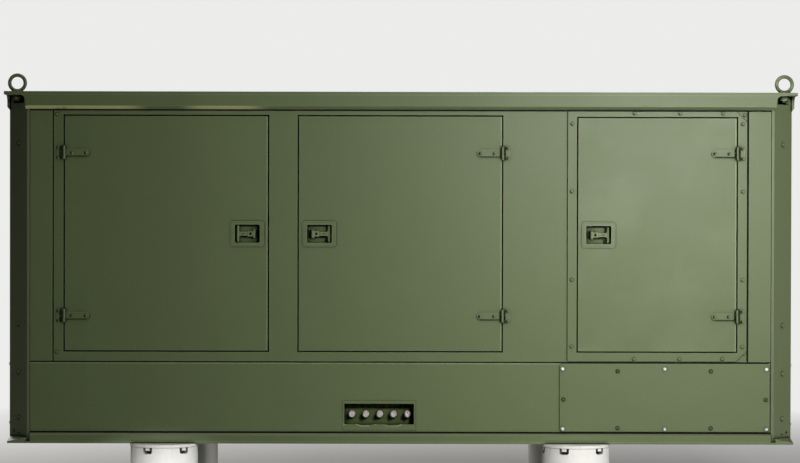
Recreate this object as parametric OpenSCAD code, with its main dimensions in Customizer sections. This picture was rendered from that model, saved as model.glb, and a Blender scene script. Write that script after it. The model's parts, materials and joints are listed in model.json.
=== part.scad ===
// Generator set in a free-standing sheet-steel enclosure, on four round stands.
// Millimetres. +Z is up, the front faces -Y, and the origin is on the ground
// under the middle of the enclosure.

/* [Enclosure] */
// Length over the end panels
body_l = 3280; // [3200:10:4200]
// Depth over the front and back panels
body_d = 1180; // [960:10:1500]
// Height from the underside of the base plate to the top of the roof plate
body_h = 1464; // [1200:10:1800]
// Thickness of the sheet-steel panels
sheet = 3; // [2:0.5:4]
// Gap between neighbouring panels
seam = 6; // [3:0.5:8]
// Height of the seam between the upper and lower panels
waist_h = 340; // [260:1:420]
// Width of the chamfer at each upright corner
chamfer = 86; // [75:1:110]
// Width of the corner post's flange beside the chamfer
post_flange = 10; // [6:1:16]
// Width of the ledge on a corner post that the panels lie on
post_ledge = 40; // [25:1:60]
// Thickness of the corner posts
post_t = 4; // [3:0.5:6]
// Width of the strip of panel beside each front corner
strip_w = 92; // [60:1:130]
// Depth of the rails and uprights behind the panels
rail_depth = 30; // [20:1:32]
// Thickness of the rubber between the panels and their ledges
seal_t = 3; // [2:0.5:4]

/* [Top frame] */
// Thickness of the roof plate
roof_t = 13; // [8:1:20]
// Distance that the rails stand proud of the panels
proud = 10; // [6:1:16]
// Height of the top rail's face under the roof plate
rail_face_h = 47; // [40:1:80]
// Drop of the sloping lip under the top rail's face
lip_h = 13; // [8:1:20]
// Gap between the lip and the panels
lip_gap = 7; // [4:1:12]
// Distance from the roof plate's corner to the end of the rail's face
notch_l = 89; // [80:1:120]
// Radius of the arc where the rail's face runs up into the roof plate
notch_r = 28; // [10:1:36]

/* [Base] */
// Thickness of the base plate
base_t = 8; // [4:1:12]
// Height of the bottom rail, with the base plate
base_h = 43; // [36:1:70]
// Height and depth of the bevel on the bottom rail's upper edge
base_bevel = 8; // [3:1:9]
// Gap between the bottom rail and the lower panels
base_gap = 8; // [4:1:12]
// Distance that the base plate stops short of the end panels
base_inset = 4; // [0:1:8]
// Depth that the panels lap over the ledges of the rails
lap = 9; // [6:1:9]
// Height of the sloping foot at each corner post
foot_h = 17; // [10:1:30]
// Length of the lashing slot in the foot
foot_slot_l = 28; // [16:1:34]
// Diameter of the drain hole near the bottom of each post
drain_d = 9; // [6:1:14]
// Height of the drain hole over the underside of the base plate
drain_z = 39; // [34:1:80]

/* [Doors] */
// Width of the opening of the first door, from the left
door_1_w = 856; // [600:2:1000]
// Width of the opening of the second door
door_2_w = 856; // [600:2:1000]
// Width of the opening of the third door
door_3_w = 670; // [500:2:760]
// Distance from an end panel to the nearest door opening
door_margin = 237; // [225:1:300]
// Width of the panel between the first and second doors
mullion_w = 118; // [60:1:160]
// Height of the panel under the doors
door_sill = 38; // [30:1:80]
// Height of the panel over the doors
door_head = 16; // [16:1:60]
// Distance that the third door's top is lower than the others'
door_3_drop = 5; // [0:1:20]
// Gap around a closed door
door_gap = 6; // [4:0.5:8]
// Thickness of a door
door_t = 35; // [32:1:45]
// Distance that a door's inner pan is set in from its skin
door_inset = 3; // [2:0.5:6]
// Thickness of the wall of a door's jamb
jamb_t = 6; // [3:0.5:7]
// Width of the landing behind a door's edge
landing_w = 18; // [10:1:30]
// Clearance between a closed door and its landing
landing_gap = 6; // [5:0.5:8]
// Width of the rubber seal on the landing
door_seal_w = 9; // [6:1:10]
// Width of the rim round the lining on the inside of a door
lining_rim = 44; // [30:1:70]
// Depth of the lining behind the rim
lining_d = 5; // [2:0.5:5]
// Width of the raised frame on each side of the third door
frame_w = 37; // [25:1:38]
// Size of the diagonal cut at the raised frame's outer corners
frame_cut = 44; // [0:1:60]

/* [Hinges] */
// Height of a hinge barrel
barrel_h = 54; // [40:1:80]
// Radius of a hinge barrel
barrel_r = 6; // [5:0.5:8]
// Radius of the hinge pin
pin_r = 3; // [2:0.25:4]
// Radial clearance of a hinge or handle pin
pin_clear = 0.1; // [0.05:0.05:0.1]
// Height of the strap on the door
strap_h = 29; // [20:1:36]
// Length of the strap from the hinge axis
strap_l = 105; // [70:1:130]
// Width of the leaf from the hinge axis
leaf_w = 31; // [24:1:32]
// Thickness of the strap and leaf
leaf_t = 4; // [3:0.5:5]
// Distance from the top of the opening to the upper hinge
hinge_from_top = 158; // [80:1:200]
// Distance from the bottom of the opening to the lower hinge
hinge_from_bottom = 151; // [80:1:200]

/* [Latches] */
// Width of the latch plate on the door's face
plate_w = 140; // [130:1:170]
// Height of the latch plate
plate_h = 106; // [100:1:130]
// Width of the recessed pan
pan_w = 104; // [96:1:116]
// Height of the recessed pan
pan_h = 76; // [70:1:90]
// Depth of the recessed pan
pan_d = 25; // [24:1:26]
// Thickness of the latch plate and of the pan's wall
pan_t = 2; // [1.5:0.5:3]
// Distance from the door opening's free edge to the middle of the latch
latch_from_edge = 91; // [85:1:140]
// Distance from the middle of the latch to the handle's pivot
pivot_from_mid = 28; // [24:1:32]
// Distance from the handle's pivot to the middle of its grip
grip_from_pivot = 68; // [56:1:70]
// Length of the handle's grip
grip_l = 66; // [50:1:66]
// Diameter of the handle's grip
grip_d = 11; // [8:1:12]
// Length of the handle's lock block from the pivot
hub_l = 26; // [22:1:34]
// Height of the handle's lock block
hub_h = 25; // [20:1:30]
// Radius of the handle's rounded end round the pivot
hub_r = 9; // [7:0.5:9.5]
// Diameter of the keyhole in the lock block
key_d = 8; // [4:0.5:9]

/* [Terminals] */
// Width of the terminal recess
recess_w = 291; // [270:1:340]
// Height of the terminal recess
recess_h = 87; // [80:1:110]
// Depth of the terminal recess
recess_d = 62; // [56:1:110]
// Distance from the enclosure's middle to the middle of the recess
recess_x = -88; // [-200:1:100]
// Depth of the cable notches in the recess's lower edge
notch_h = 5; // [2:0.5:5]
// Width of a cable notch at its top
notch_w = 62; // [40:1:70]
// Height of the raised rim round the recess over the panel
surround_t = 1.5; // [1:0.5:3]
// Height of the studs over the underside of the base plate
stud_z = 120; // [118:1:132]
// Number of load studs
stud_count = 5; // [3:1:5]
// Distance between the load studs
stud_pitch = 58; // [50:1:62]
// Diameter of the load studs
stud_d = 16; // [10:1:20]
// Diameter of the round cap on each load stud
cap_d = 26; // [20:1:32]

/* [Cover plate] */
// Length of the bolted cover at the front's right
cover_l = 872; // [600:1:900]

/* [Lifting eyes] */
// Distance from the roof plate's edges to a lifting eye
eye_from_edge = 49; // [44:1:54]
// Outer diameter of the eye's ring
eye_d = 80; // [60:1:90]
// Diameter of the eye's bar
eye_bar_d = 15; // [12:1:20]
// Diameter of the shank and its thread
shank_d = 20; // [16:1:24]

/* [Stands] */
// Height of the stands
stand_h = 300; // [200:5:500]
// Diameter of the stands
stand_d = 280; // [200:5:400]
// Distance from the enclosure's middle to the left stands
stand_left_x = 986; // [600:1:1200]
// Distance from the enclosure's middle to the right stands
stand_right_x = 734; // [600:1:1200]
// Distance from the rail's face back to the middle of a stand
stand_setback = 48; // [0:1:150]
// Height of the rim at the top of a stand
rim_h = 12; // [8:1:20]
// Width of the lug holes in a stand
lug_hole_w = 41; // [30:1:50]
// Height of the lug holes in a stand
lug_hole_h = 26; // [18:1:36]

/* [Machinery] */
// Length of the engine block
engine_l = 900; // [700:10:960]
// Width of the engine block
engine_w = 360; // [300:10:420]
// Height of the engine from its sump to its rocker cover
engine_h = 760; // [600:10:800]
// Diameter of the alternator's barrel
alternator_d = 520; // [400:10:560]
// Length of the alternator's barrel
alternator_l = 640; // [500:10:700]
// Height of the skid under the machinery
skid_h = 110; // [80:5:140]

/* [Hidden] */

olive = [0.36, 0.40, 0.27];
dark_green = [0.17, 0.22, 0.15];
rubber = [0.06, 0.06, 0.06];
bright_metal = [0.78, 0.78, 0.76];
white_paint = [0.90, 0.90, 0.88];
machine_grey = [0.45, 0.46, 0.46];
matt_black = [0.10, 0.10, 0.10];

$fn = 64;
eps = 0.01;

// Outer planes of the panels, and of the roof plate and rails
hx = body_l / 2;
hy = body_d / 2;
ox = hx + proud;
oy = hy + proud;

// Depths behind the panels' outer planes: the panel's back, then the ledges behind the rubber
back_d = sheet;
ledge_d = sheet + seal_t;
ledge_t = 3;

// Levels
z_base = stand_h;
z_floor = z_base + base_t;
z_sill = z_base + base_h;
z_waist = z_base + waist_h;
z_top = z_base + body_h;
z_roof = z_top - roof_t;
z_face = z_roof - rail_face_h;
z_lip = z_face - lip_h;
lower_bottom = z_sill + base_gap;
lower_top = z_waist - seam / 2;
upper_bottom = z_waist + seam / 2;
upper_top = z_lip - lip_gap;
door_z0 = upper_bottom + door_sill;
door_z1 = upper_top - door_head;

// Edges along the front and along the ends
post_x = hx - chamfer - post_flange;
post_y = hy - chamfer - post_flange;
rail_x = post_x - post_ledge;
rail_y = post_y - post_ledge;
strip_x1 = post_x - sheet;
strip_x0 = strip_x1 - strip_w;
panel_x = strip_x0 - seam;
end_y = post_y - sheet;
waist_rail_h = 40;
upright_w = 40;
upright_x = panel_x + seam / 2 - upright_w / 2;

// Door openings: [left edge, right edge, hinge side, outer plane, top]
frame_t = sheet;
DOORS = [
    [-hx + door_margin, -hx + door_margin + door_1_w, -1, hy, door_z1],
    [-hx + door_margin + door_1_w + mullion_w,
     -hx + door_margin + door_1_w + mullion_w + door_2_w, 1, hy, door_z1],
    [hx - door_margin - door_3_w, hx - door_margin, 1, hy + frame_t, door_z1 - door_3_drop]
];
hinge_zs = [door_z0 + hinge_from_bottom, door_z1 - hinge_from_top];
function latch_z(d) = (door_z0 + d[4]) / 2 - 1;
pivot_depth = 13;

// A box between two opposite corners
module block(lo, hi) translate(lo) cube([for (i = [0:2]) hi[i] - lo[i]]);

// A flat sheet facing the front, drawn in X and Z, whose outer plane is y out of the middle
module front_sheet(y, t) translate([0, t - y, 0]) rotate([90, 0, 0]) linear_extrude(t) children();

// A flat sheet facing the right-hand end, drawn in Y and Z, whose outer plane is x out
module end_sheet(x, t) translate([x - t, 0, 0]) rotate([90, 0, 90]) linear_extrude(t) children();

// What stands at the front, turned round to the back
module to_back() rotate([0, 0, 180]) children();

module rect(x0, z0, x1, z1) translate([x0, z0]) square([x1 - x0, z1 - z0]);

module round_rect(w, h, r) {
    square([w - 2 * r, h], center = true);
    square([w, h - 2 * r], center = true);
    for (sx = [-1, 1], sy = [-1, 1]) translate([sx * (w / 2 - r), sy * (h / 2 - r)]) circle(r);
}

module front_and_back() for (side = [0, 1]) mirror([0, side, 0]) children();
module both_ends() for (side = [0, 1]) mirror([side, 0, 0]) children();
module four_corners() both_ends() front_and_back() children();

// ---------------------------------------------------------------- base and frame

module base_plate() color(olive)
    block([-hx + base_inset, -oy, z_base], [hx - base_inset, oy, z_floor]);

// Section of the front bottom rail: x is the distance out from the panels, y is the level
module bottom_section() polygon([
    [-rail_depth, z_floor], [0, z_floor], [0, z_sill], [-ledge_d, z_sill],
    [-ledge_d, lower_bottom + lap], [-ledge_d - ledge_t, lower_bottom + lap],
    [-ledge_d - ledge_t, z_sill], [-rail_depth, z_sill]
]);

module bottom_face() polygon([
    [0, z_floor], [proud, z_floor], [proud, z_sill - base_bevel],
    [proud - base_bevel, z_sill], [0, z_sill]
]);

module end_section() polygon([
    [-rail_depth, z_floor], [-base_inset, z_floor], [-base_inset, z_sill], [-ledge_d, z_sill],
    [-ledge_d, lower_bottom + lap], [-ledge_d - ledge_t, lower_bottom + lap],
    [-ledge_d - ledge_t, z_sill], [-rail_depth, z_sill]
]);

// Sweeps a section along the front, or along the right-hand end
module along_front(half_l) translate([-half_l, -hy, 0]) rotate([90, 0, 90])
    linear_extrude(2 * half_l) mirror([1, 0]) children();

module along_end(half_l) translate([hx, half_l, 0]) rotate([90, 0, 0])
    linear_extrude(2 * half_l) children();

module bottom_rails() color(olive) {
    front_and_back() {
        along_front(rail_x) bottom_section();
        along_front(post_x - 2) bottom_face();
    }
    both_ends() along_end(rail_y) end_section();
}

// Plan of one corner post: flanges beside the chamfer, and ledges behind the panels
module post_plan() {
    inner = ledge_d + post_t;
    slant = inner * (sqrt(2) - 1);
    polygon([
        [post_x, hy], [hx - chamfer, hy], [hx, hy - chamfer], [hx, post_y],
        [hx - ledge_d, post_y], [hx - ledge_d, rail_y], [hx - inner, rail_y],
        [hx - inner, hy - chamfer - slant], [hx - chamfer - slant, hy - inner],
        [rail_x, hy - inner], [rail_x, hy - ledge_d], [post_x, hy - ledge_d]
    ]);
}

// Turns to the middle of the chamfer's face: x runs along the face and y points out of it
module at_chamfer() translate([hx - chamfer / 2, hy - chamfer / 2, 0]) rotate(-45) children();

// The foot slopes from the chamfer's face down to the corner of the base plate
module post_foot() {
    reach = (chamfer + proud - base_inset) / sqrt(2);
    half_l = chamfer / sqrt(2);
    difference() {
        intersection() {
            at_chamfer() translate([-half_l, 0, 0]) rotate([90, 0, 90]) linear_extrude(2 * half_l)
                polygon([[-eps, z_floor], [reach, z_floor], [-eps, z_floor + foot_h]]);
            block([0, 0, z_floor], [hx - base_inset, oy, z_floor + foot_h]);
        }
        at_chamfer() foot_slot(reach * 0.4);
    }
}

// Round-ended lashing slot, y out from the chamfer's face
module foot_slot(y) {
    slot_w = 7;
    ends = (foot_slot_l - slot_w) / 2;
    translate([-ends, y - slot_w / 2, z_floor + 1]) cube([2 * ends, slot_w, foot_h]);
    for (side = [-1, 1]) translate([side * ends, y, z_floor + 1]) cylinder(d = slot_w, h = foot_h);
}

nut_room = 34;
nut_room_r = 38;
module corner_posts() color(olive) four_corners() {
    difference() {
        translate([0, 0, z_floor]) linear_extrude(z_roof - z_floor) post_plan();
        translate([ox - eye_from_edge, oy - eye_from_edge, z_roof - nut_room])
            cylinder(r = nut_room_r, h = nut_room + 1);
        at_chamfer() translate([0, 1, z_base + drain_z]) rotate([90, 0, 0])
            cylinder(d = drain_d, h = 2 * post_t);
    }
    post_foot();
}

module waist_rails() color(olive) {
    z0 = z_waist - waist_rail_h / 2;
    z1 = z_waist + waist_rail_h / 2;
    front_and_back() block([-rail_x, ledge_d - hy, z0], [rail_x, rail_depth - hy, z1]);
    both_ends() block([hx - rail_depth, -rail_y, z0], [hx - ledge_d, rail_y, z1]);
}

module uprights() color(olive) four_corners()
    block([upright_x, hy - rail_depth, z_waist + waist_rail_h / 2],
          [upright_x + upright_w, hy - ledge_d, upper_top - lap]);

// Section of the top rail behind its face, with the ledge that the panels lap over
module top_section() polygon([
    [0, z_roof], [-rail_depth, z_roof], [-rail_depth, z_lip], [-ledge_d - ledge_t, z_lip],
    [-ledge_d - ledge_t, upper_top - lap], [-ledge_d, upper_top - lap], [-ledge_d, z_lip], [0, z_lip]
]);

module top_face() polygon([[0, z_lip], [proud, z_face], [proud, z_roof], [0, z_roof]]);

// The fillet where the end of a rail's face runs up into the roof plate
module notch_fillet() difference() {
    translate([0, -notch_r]) square(notch_r);
    translate([notch_r, -notch_r]) circle(notch_r);
}

module top_rail_front() {
    end_x = ox - notch_l;
    along_front(rail_x) top_section();
    along_front(end_x) top_face();
    both_ends() translate([end_x, 0, z_roof]) front_sheet(oy, proud) notch_fillet();
}

module top_rail_end() {
    end_l = oy - notch_l;
    along_end(rail_y) top_section();
    along_end(end_l) top_face();
    front_and_back() translate([0, end_l, z_roof]) end_sheet(ox, proud) notch_fillet();
}

module top_rails() color(olive) {
    front_and_back() top_rail_front();
    both_ends() top_rail_end();
}

module roof_plate() color(olive) difference() {
    block([-ox, -oy, z_roof], [ox, oy, z_top]);
    four_corners() translate([ox - eye_from_edge, oy - eye_from_edge, z_roof - 1])
        cylinder(d = shank_d + 0.6, h = roof_t + 2);
}

module lifting_eyes() color(olive) four_corners()
    translate([ox - eye_from_edge, oy - eye_from_edge, z_top]) lifting_eye();

module lifting_eye() {
    ring_r = (eye_d - eye_bar_d) / 2;
    ring_z = eye_d / 2 - 3;
    collar_d = shank_d * 2.6;
    collar_h = 4;
    neck_h = 9;
    nut_h = 19;
    intersection() {
        translate([0, 0, ring_z]) rotate([90, 0, 0])
            rotate_extrude() translate([ring_r, 0]) circle(d = eye_bar_d);
        translate([-eye_d, -eye_d, 0]) cube(2 * eye_d);
    }
    cylinder(d = collar_d, h = collar_h);
    translate([0, 0, collar_h]) cylinder(d1 = collar_d - 4, d2 = shank_d * 1.5, h = neck_h - collar_h);
    translate([0, 0, -roof_t - nut_h - 5]) cylinder(d = shank_d, h = roof_t + nut_h + 6);
    translate([0, 0, -roof_t - nut_h]) cylinder(d = shank_d * 1.7, h = nut_h, $fn = 6);
}

// ---------------------------------------------------------------- panels

// The rubber on the ledges of a wall that reaches half to each side
module seal_strips(half) {
    for (side = [0, 1]) mirror([side, 0]) rect(half - post_ledge, z_sill, half, z_lip);
    rect(-half, z_sill, half, lower_bottom + lap);
    rect(-half, z_waist - waist_rail_h / 2, half, z_waist + waist_rail_h / 2);
    rect(-half, upper_top - lap, half, z_lip);
}

module panel_seals() color(rubber) {
    front_and_back() front_sheet(hy - back_d, seal_t) {
        seal_strips(post_x);
        for (side = [0, 1]) mirror([side, 0])
            rect(upright_x, z_waist, upright_x + upright_w, upper_top);
    }
    both_ends() end_sheet(hx - back_d, seal_t) seal_strips(post_y);
}

module strips() both_ends()
    front_sheet(hy, sheet) rect(strip_x0, upper_bottom, strip_x1, upper_top);

module door_holes() for (d = DOORS) rect(d[0], door_z0, d[1], d[4]);

module panel_sheet() front_sheet(hy, sheet) difference() {
    rect(-panel_x, upper_bottom, panel_x, upper_top);
    door_holes();
}

// The raised frame bolted round the third door, with its outer corners cut off
module door_frame_sheet() front_sheet(hy + frame_t, frame_t) difference() {
    x0 = DOORS[2][0] - frame_w;
    x1 = DOORS[2][1] + frame_w;
    z0 = upper_bottom + 3;
    polygon([
        [x0, z0], [x1 - frame_cut, z0], [x1, z0 + frame_cut],
        [x1, upper_top - frame_cut], [x1 - frame_cut, upper_top], [x0, upper_top]
    ]);
    rect(DOORS[2][0], door_z0, DOORS[2][1], DOORS[2][4]);
}

module front_strips() color(olive) strips();
module front_panel() color(olive) panel_sheet();
module door_frame() color(olive) door_frame_sheet();

// The jamb behind each opening, and the landing that the door closes towards
landing_d = door_t + landing_gap;
module door_jamb(x0, x1, z1) {
    landing_t = 3;
    front_sheet(hy - back_d, landing_d - back_d) difference() {
        rect(x0 - jamb_t, door_z0 - jamb_t, x1 + jamb_t, z1 + jamb_t);
        rect(x0, door_z0, x1, z1);
    }
    front_sheet(hy - landing_d, landing_t) difference() {
        rect(x0 - jamb_t, door_z0 - jamb_t, x1 + jamb_t, z1 + jamb_t);
        rect(x0 + landing_w, door_z0 + landing_w, x1 - landing_w, z1 - landing_w);
    }
}

// The seal on the landing, under the rim of the closed door
module door_seal(x0, x1, z1) {
    outer = landing_w - door_seal_w - 1;
    inner = landing_w - 1;
    seal_clear = 0.3;
    front_sheet(hy - door_t - seal_clear, landing_gap - seal_clear) difference() {
        rect(x0 + outer, door_z0 + outer, x1 - outer, z1 - outer);
        rect(x0 + inner, door_z0 + inner, x1 - inner, z1 - inner);
    }
}

module door_jambs() color(olive) for (d = DOORS) door_jamb(d[0], d[1], d[4]);
module door_seals() color(rubber) for (d = DOORS) door_seal(d[0], d[1], d[4]);

// The lower panel has a rim round the terminal recess, and cable notches in its lower edge
recess_x0 = recess_x - recess_w / 2;
recess_x1 = recess_x + recess_w / 2;
recess_z0 = z_base + stud_z - recess_h / 2 + 3.5;
recess_z1 = recess_z0 + recess_h;
rim_side = 6;
rim_top = 11;
rim_bottom = 22;
notch_slope = 11;

module recess_hole() {
    rect(recess_x0, recess_z0, recess_x1, recess_z1);
    for (i = [1:2:stud_count - 1]) translate([stud_x(i), recess_z0])
        polygon([[-notch_w / 2, 0], [notch_slope - notch_w / 2, -notch_h],
                 [notch_w / 2 - notch_slope, -notch_h], [notch_w / 2, 0]]);
}

// The walls of the recess are folded back from the lower panel's hole
recess_wall = 3;
module recess_outline(grow) rect(recess_x0 - grow, recess_z0 - notch_h - grow,
                                 recess_x1 + grow, recess_z1 + grow);

module lower_front_panel() color(olive) {
    front_sheet(hy, sheet) difference() {
        rect(-strip_x1, lower_bottom, strip_x1, lower_top);
        recess_hole();
    }
    front_sheet(hy + surround_t, surround_t) difference() {
        rect(recess_x0 - rim_side, recess_z0 - rim_bottom, recess_x1 + rim_side, recess_z1 + rim_top);
        recess_hole();
    }
    front_sheet(hy - back_d, recess_d - back_d - recess_wall) difference() {
        recess_outline(recess_wall);
        recess_outline(0);
    }
}

// The bolted cover at the front's right
cover_x1 = strip_x1 - 4;
cover_x0 = cover_x1 - cover_l;
cover_r = 12;
module cover_plate() color(olive) front_sheet(hy + sheet, sheet)
    translate([(cover_x0 + cover_x1) / 2, (lower_bottom + lower_top) / 2])
        round_rect(cover_l, lower_top - lower_bottom - 4, cover_r);

// ---------------------------------------------------------------- terminals

function stud_x(i) = recess_x + (i - (stud_count - 1) / 2) * stud_pitch;

// The plate at the back of the recess, which carries the studs
module terminal_board() color(olive) front_sheet(hy - recess_d + recess_wall, recess_wall)
    recess_outline(recess_wall);

module terminal_studs() color(bright_metal) for (i = [0:stud_count - 1])
    translate([stud_x(i), recess_d - hy - recess_wall, z_base + stud_z])
        rotate([90, 0, 0]) terminal_stud();

// A nut and washer against the back of the recess, and a round cap at the stud's end
module terminal_stud() {
    reach = 41;
    cap_h = 16;
    cylinder(d = stud_d * 2, h = 3);
    translate([0, 0, 3]) cylinder(d = stud_d * 1.6, h = 10, $fn = 6);
    cylinder(d = stud_d, h = reach - 1);
    translate([0, 0, reach - cap_h]) cylinder(d = cap_d, h = cap_h - 3);
    translate([0, 0, reach - 3]) cylinder(d1 = cap_d, d2 = cap_d - 5, h = 3);
}

// ---------------------------------------------------------------- doors

// The X of a door's hinge axis, of its free edge, of its latch and of the handle's pivot
function hinge_x(d) = d[2] < 0 ? d[0] + door_gap / 2 : d[1] - door_gap / 2;
function free_x(d) = d[2] < 0 ? d[1] : d[0];
function latch_x(d) = free_x(d) + d[2] * latch_from_edge;
function pivot_x(d) = latch_x(d) - d[2] * pivot_from_mid;
hinge_out = barrel_r + 0.3;

// A folded skin over an inner pan, with room for the latch and a lining set into the back
module door(d) {
    g = door_gap;
    e = door_gap + door_inset;
    depth = d[3] - hy + door_t;
    pan_room = pan_t + 0.5;
    difference() {
        union() {
            front_sheet(d[3], sheet) rect(d[0] + g, door_z0 + g, d[1] - g, d[4] - g);
            front_sheet(d[3] - sheet, depth - sheet)
                rect(d[0] + e, door_z0 + e, d[1] - e, d[4] - e);
        }
        translate([latch_x(d), 0, latch_z(d)])
            front_sheet(d[3] + 1, pan_d + pan_t + 1)
                square([pan_w + 2 * pan_room, pan_h + 2 * pan_room], center = true);
        front_sheet(hy - door_t + lining_d, lining_d + 1)
            rect(d[0] + e + lining_rim, door_z0 + e + lining_rim,
                 d[1] - e - lining_rim, d[4] - e - lining_rim);
    }
}

module door_1() color(olive) door(DOORS[0]);
module door_2() color(olive) door(DOORS[1]);
module door_3() color(olive) door(DOORS[2]);

knuckle_gap = 0.5;

// One strap with its knuckle, on a door that reaches to +X from the hinge axis
module strap() difference() {
    union() {
        cylinder(r = barrel_r, h = strap_h, center = true);
        translate([0, hinge_out, 0]) rotate([90, 0, 0]) linear_extrude(leaf_t) {
            rect(door_gap / 2, -strap_h / 2, strap_l - strap_h / 2, strap_h / 2);
            translate([strap_l - strap_h / 2, 0]) circle(d = strap_h);
        }
    }
    cylinder(r = pin_r + pin_clear, h = strap_h + 2, center = true);
}

// One leaf with its two knuckles and the pin, on the frame that reaches to -X
module leaf() {
    knuckle_h = (barrel_h - strap_h) / 2 - knuckle_gap;
    slot_w = 3;
    cylinder(r = pin_r, h = barrel_h, center = true);
    translate([-leaf_w, hinge_out - leaf_t, -barrel_h / 2])
        cube([leaf_w - barrel_r - slot_w, leaf_t, barrel_h]);
    for (side = [0, 1]) mirror([0, 0, side]) translate([0, 0, barrel_h / 2 - knuckle_h]) {
        cylinder(r = barrel_r, h = knuckle_h);
        translate([-leaf_w + 1, hinge_out - leaf_t, 0])
            cube([leaf_w - 1 - door_gap / 2, leaf_t, knuckle_h]);
    }
}

// Places a hinge piece at both hinges of a door, facing the right way
module at_hinges(d) for (z = hinge_zs) translate([hinge_x(d), -d[3] - hinge_out, z])
    mirror([d[2] > 0 ? 1 : 0, 0, 0]) children();

module door_1_straps() color(olive) at_hinges(DOORS[0]) strap();
module door_2_straps() color(olive) at_hinges(DOORS[1]) strap();
module door_3_straps() color(olive) at_hinges(DOORS[2]) strap();
module hinge_leaves() color(olive) for (d = DOORS) at_hinges(d) leaf();

// ---------------------------------------------------------------- latches

// A latch's own frame: its origin is on the handle's pivot, and the grip is to +X
module at_latch(d) translate([pivot_x(d), pivot_depth - d[3], latch_z(d)])
    mirror([d[2] > 0 ? 0 : 1, 0, 0]) children();

// The pressed plate and its pan, with two ears and the pin that the handle folds on
ear_t = 5;
ear_gap = 0.5;
module latch_pan() {
    floor_y = pan_d - pivot_depth;
    ridge_t = 1;
    ridge_in = 7;
    washer_t = 1.2;
    translate([pivot_from_mid, 0, 0]) difference() {
        union() {
            front_sheet(pivot_depth + pan_t, pan_t) round_rect(plate_w, plate_h, 12);
            front_sheet(pivot_depth + pan_t + ridge_t, ridge_t)
                round_rect(plate_w - 2 * ridge_in, plate_h - 2 * ridge_in, 9);
            front_sheet(pivot_depth, pan_d + pan_t)
                square([pan_w + 2 * pan_t, pan_h + 2 * pan_t], center = true);
        }
        front_sheet(pivot_depth + pan_t + ridge_t + 1, pan_d + pan_t + ridge_t + 1)
            round_rect(pan_w, pan_h, 6);
    }
    translate([0, floor_y + eps, 0]) rotate([90, 0, 0]) cylinder(d = hub_h + 17, h = washer_t);
    for (side = [0, 1]) mirror([0, 0, side]) translate([0, 0, hub_h / 2 + ear_gap]) {
        cylinder(r = barrel_r, h = ear_t);
        translate([-barrel_r, 0, 0]) cube([2 * barrel_r, floor_y + eps, ear_t]);
    }
    cylinder(r = pin_r, h = hub_h + 2, center = true);
}

// The folding T-handle: a lock block that turns on the pin, a flared stem and a round grip
module t_handle() {
    block_front = -7;
    block_back = 5;
    block_bevel = 4;
    stem_front = -5;
    stem_t = 8;
    stem_end_h = 15;
    key_x = 15;
    slot = [14, 3];
    difference() {
        union() {
            cylinder(r = hub_r, h = hub_h, center = true);
            rotate([90, 0, 90]) linear_extrude(hub_l) polygon([
                [block_back, -hub_h / 2], [block_front + block_bevel, -hub_h / 2],
                [block_front, block_bevel - hub_h / 2], [block_front, hub_h / 2 - block_bevel],
                [block_front + block_bevel, hub_h / 2], [block_back, hub_h / 2]
            ]);
            front_sheet(-stem_front, stem_t) polygon([
                [hub_l - 1, -hub_h / 2 + 3], [hub_l + 12, -stem_end_h / 2], [grip_from_pivot - 10, -stem_end_h / 2],
                [grip_from_pivot, -stem_end_h], [grip_from_pivot, stem_end_h],
                [grip_from_pivot - 10, stem_end_h / 2], [hub_l + 12, stem_end_h / 2], [hub_l - 1, hub_h / 2 - 3]
            ]);
        }
        cylinder(r = pin_r + pin_clear, h = hub_h + 2, center = true);
        translate([key_x, block_front + 8, 0]) rotate([90, 0, 0]) cylinder(d = key_d, h = 9);
        translate([(hub_l + grip_from_pivot) / 2, 0, 0]) front_sheet(-stem_front + 1, stem_t + 2)
            square(slot, center = true);
    }
    translate([grip_from_pivot, (block_front + block_back) / 2, 0])
        cylinder(d = grip_d, h = grip_l, center = true);
}

module latch_pan_1() color(olive) at_latch(DOORS[0]) latch_pan();
module latch_pan_2() color(olive) at_latch(DOORS[1]) latch_pan();
module latch_pan_3() color(olive) at_latch(DOORS[2]) latch_pan();
module handle_1() color(dark_green) at_latch(DOORS[0]) t_handle();
module handle_2() color(dark_green) at_latch(DOORS[1]) t_handle();
module handle_3() color(dark_green) at_latch(DOORS[2]) t_handle();

// ---------------------------------------------------------------- ends and back

module end_panels() color(olive) both_ends()
    end_sheet(hx, sheet) rect(-end_y, upper_bottom, end_y, upper_top);
module end_covers() color(olive) both_ends()
    end_sheet(hx, sheet) rect(-end_y, lower_bottom, end_y, lower_top);

// The back repeats the front, with all its doors in the panel's plane
BACK_DOORS = [for (d = DOORS) [d[0], d[1], d[2], hy, d[4]]];
module back_panel() color(olive) to_back() panel_sheet();
module back_strips() color(olive) to_back() strips();
module lower_back_panel() color(olive) to_back()
    front_sheet(hy, sheet) rect(-strip_x1, lower_bottom, strip_x1, lower_top);
module back_doors() color(olive) to_back() for (d = BACK_DOORS) door(d);
module back_hinges() color(olive) to_back() for (d = BACK_DOORS) at_hinges(d) {
    strap();
    leaf();
}
module back_latches() color(olive) to_back() for (d = BACK_DOORS) at_latch(d) {
    latch_pan();
    t_handle();
}

// ---------------------------------------------------------------- machinery

skid_w = 60;
skid_y = engine_w / 2 + 20;
skid_out = skid_y + skid_w / 2;
machine_z = z_floor + skid_h;
engine_x0 = -hx + 480;
engine_x1 = engine_x0 + engine_l;
alternator_x1 = engine_x1 + alternator_l;
shaft_z = machine_z + 30 + alternator_d / 2;
radiator_x0 = -hx + 280;
radiator_t = 90;
foot_w = 60;

// A round bar or drum along X
module along_x(x0, x1, y, z, d) translate([x0, y, z]) rotate([0, 90, 0]) cylinder(d = d, h = x1 - x0);

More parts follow.
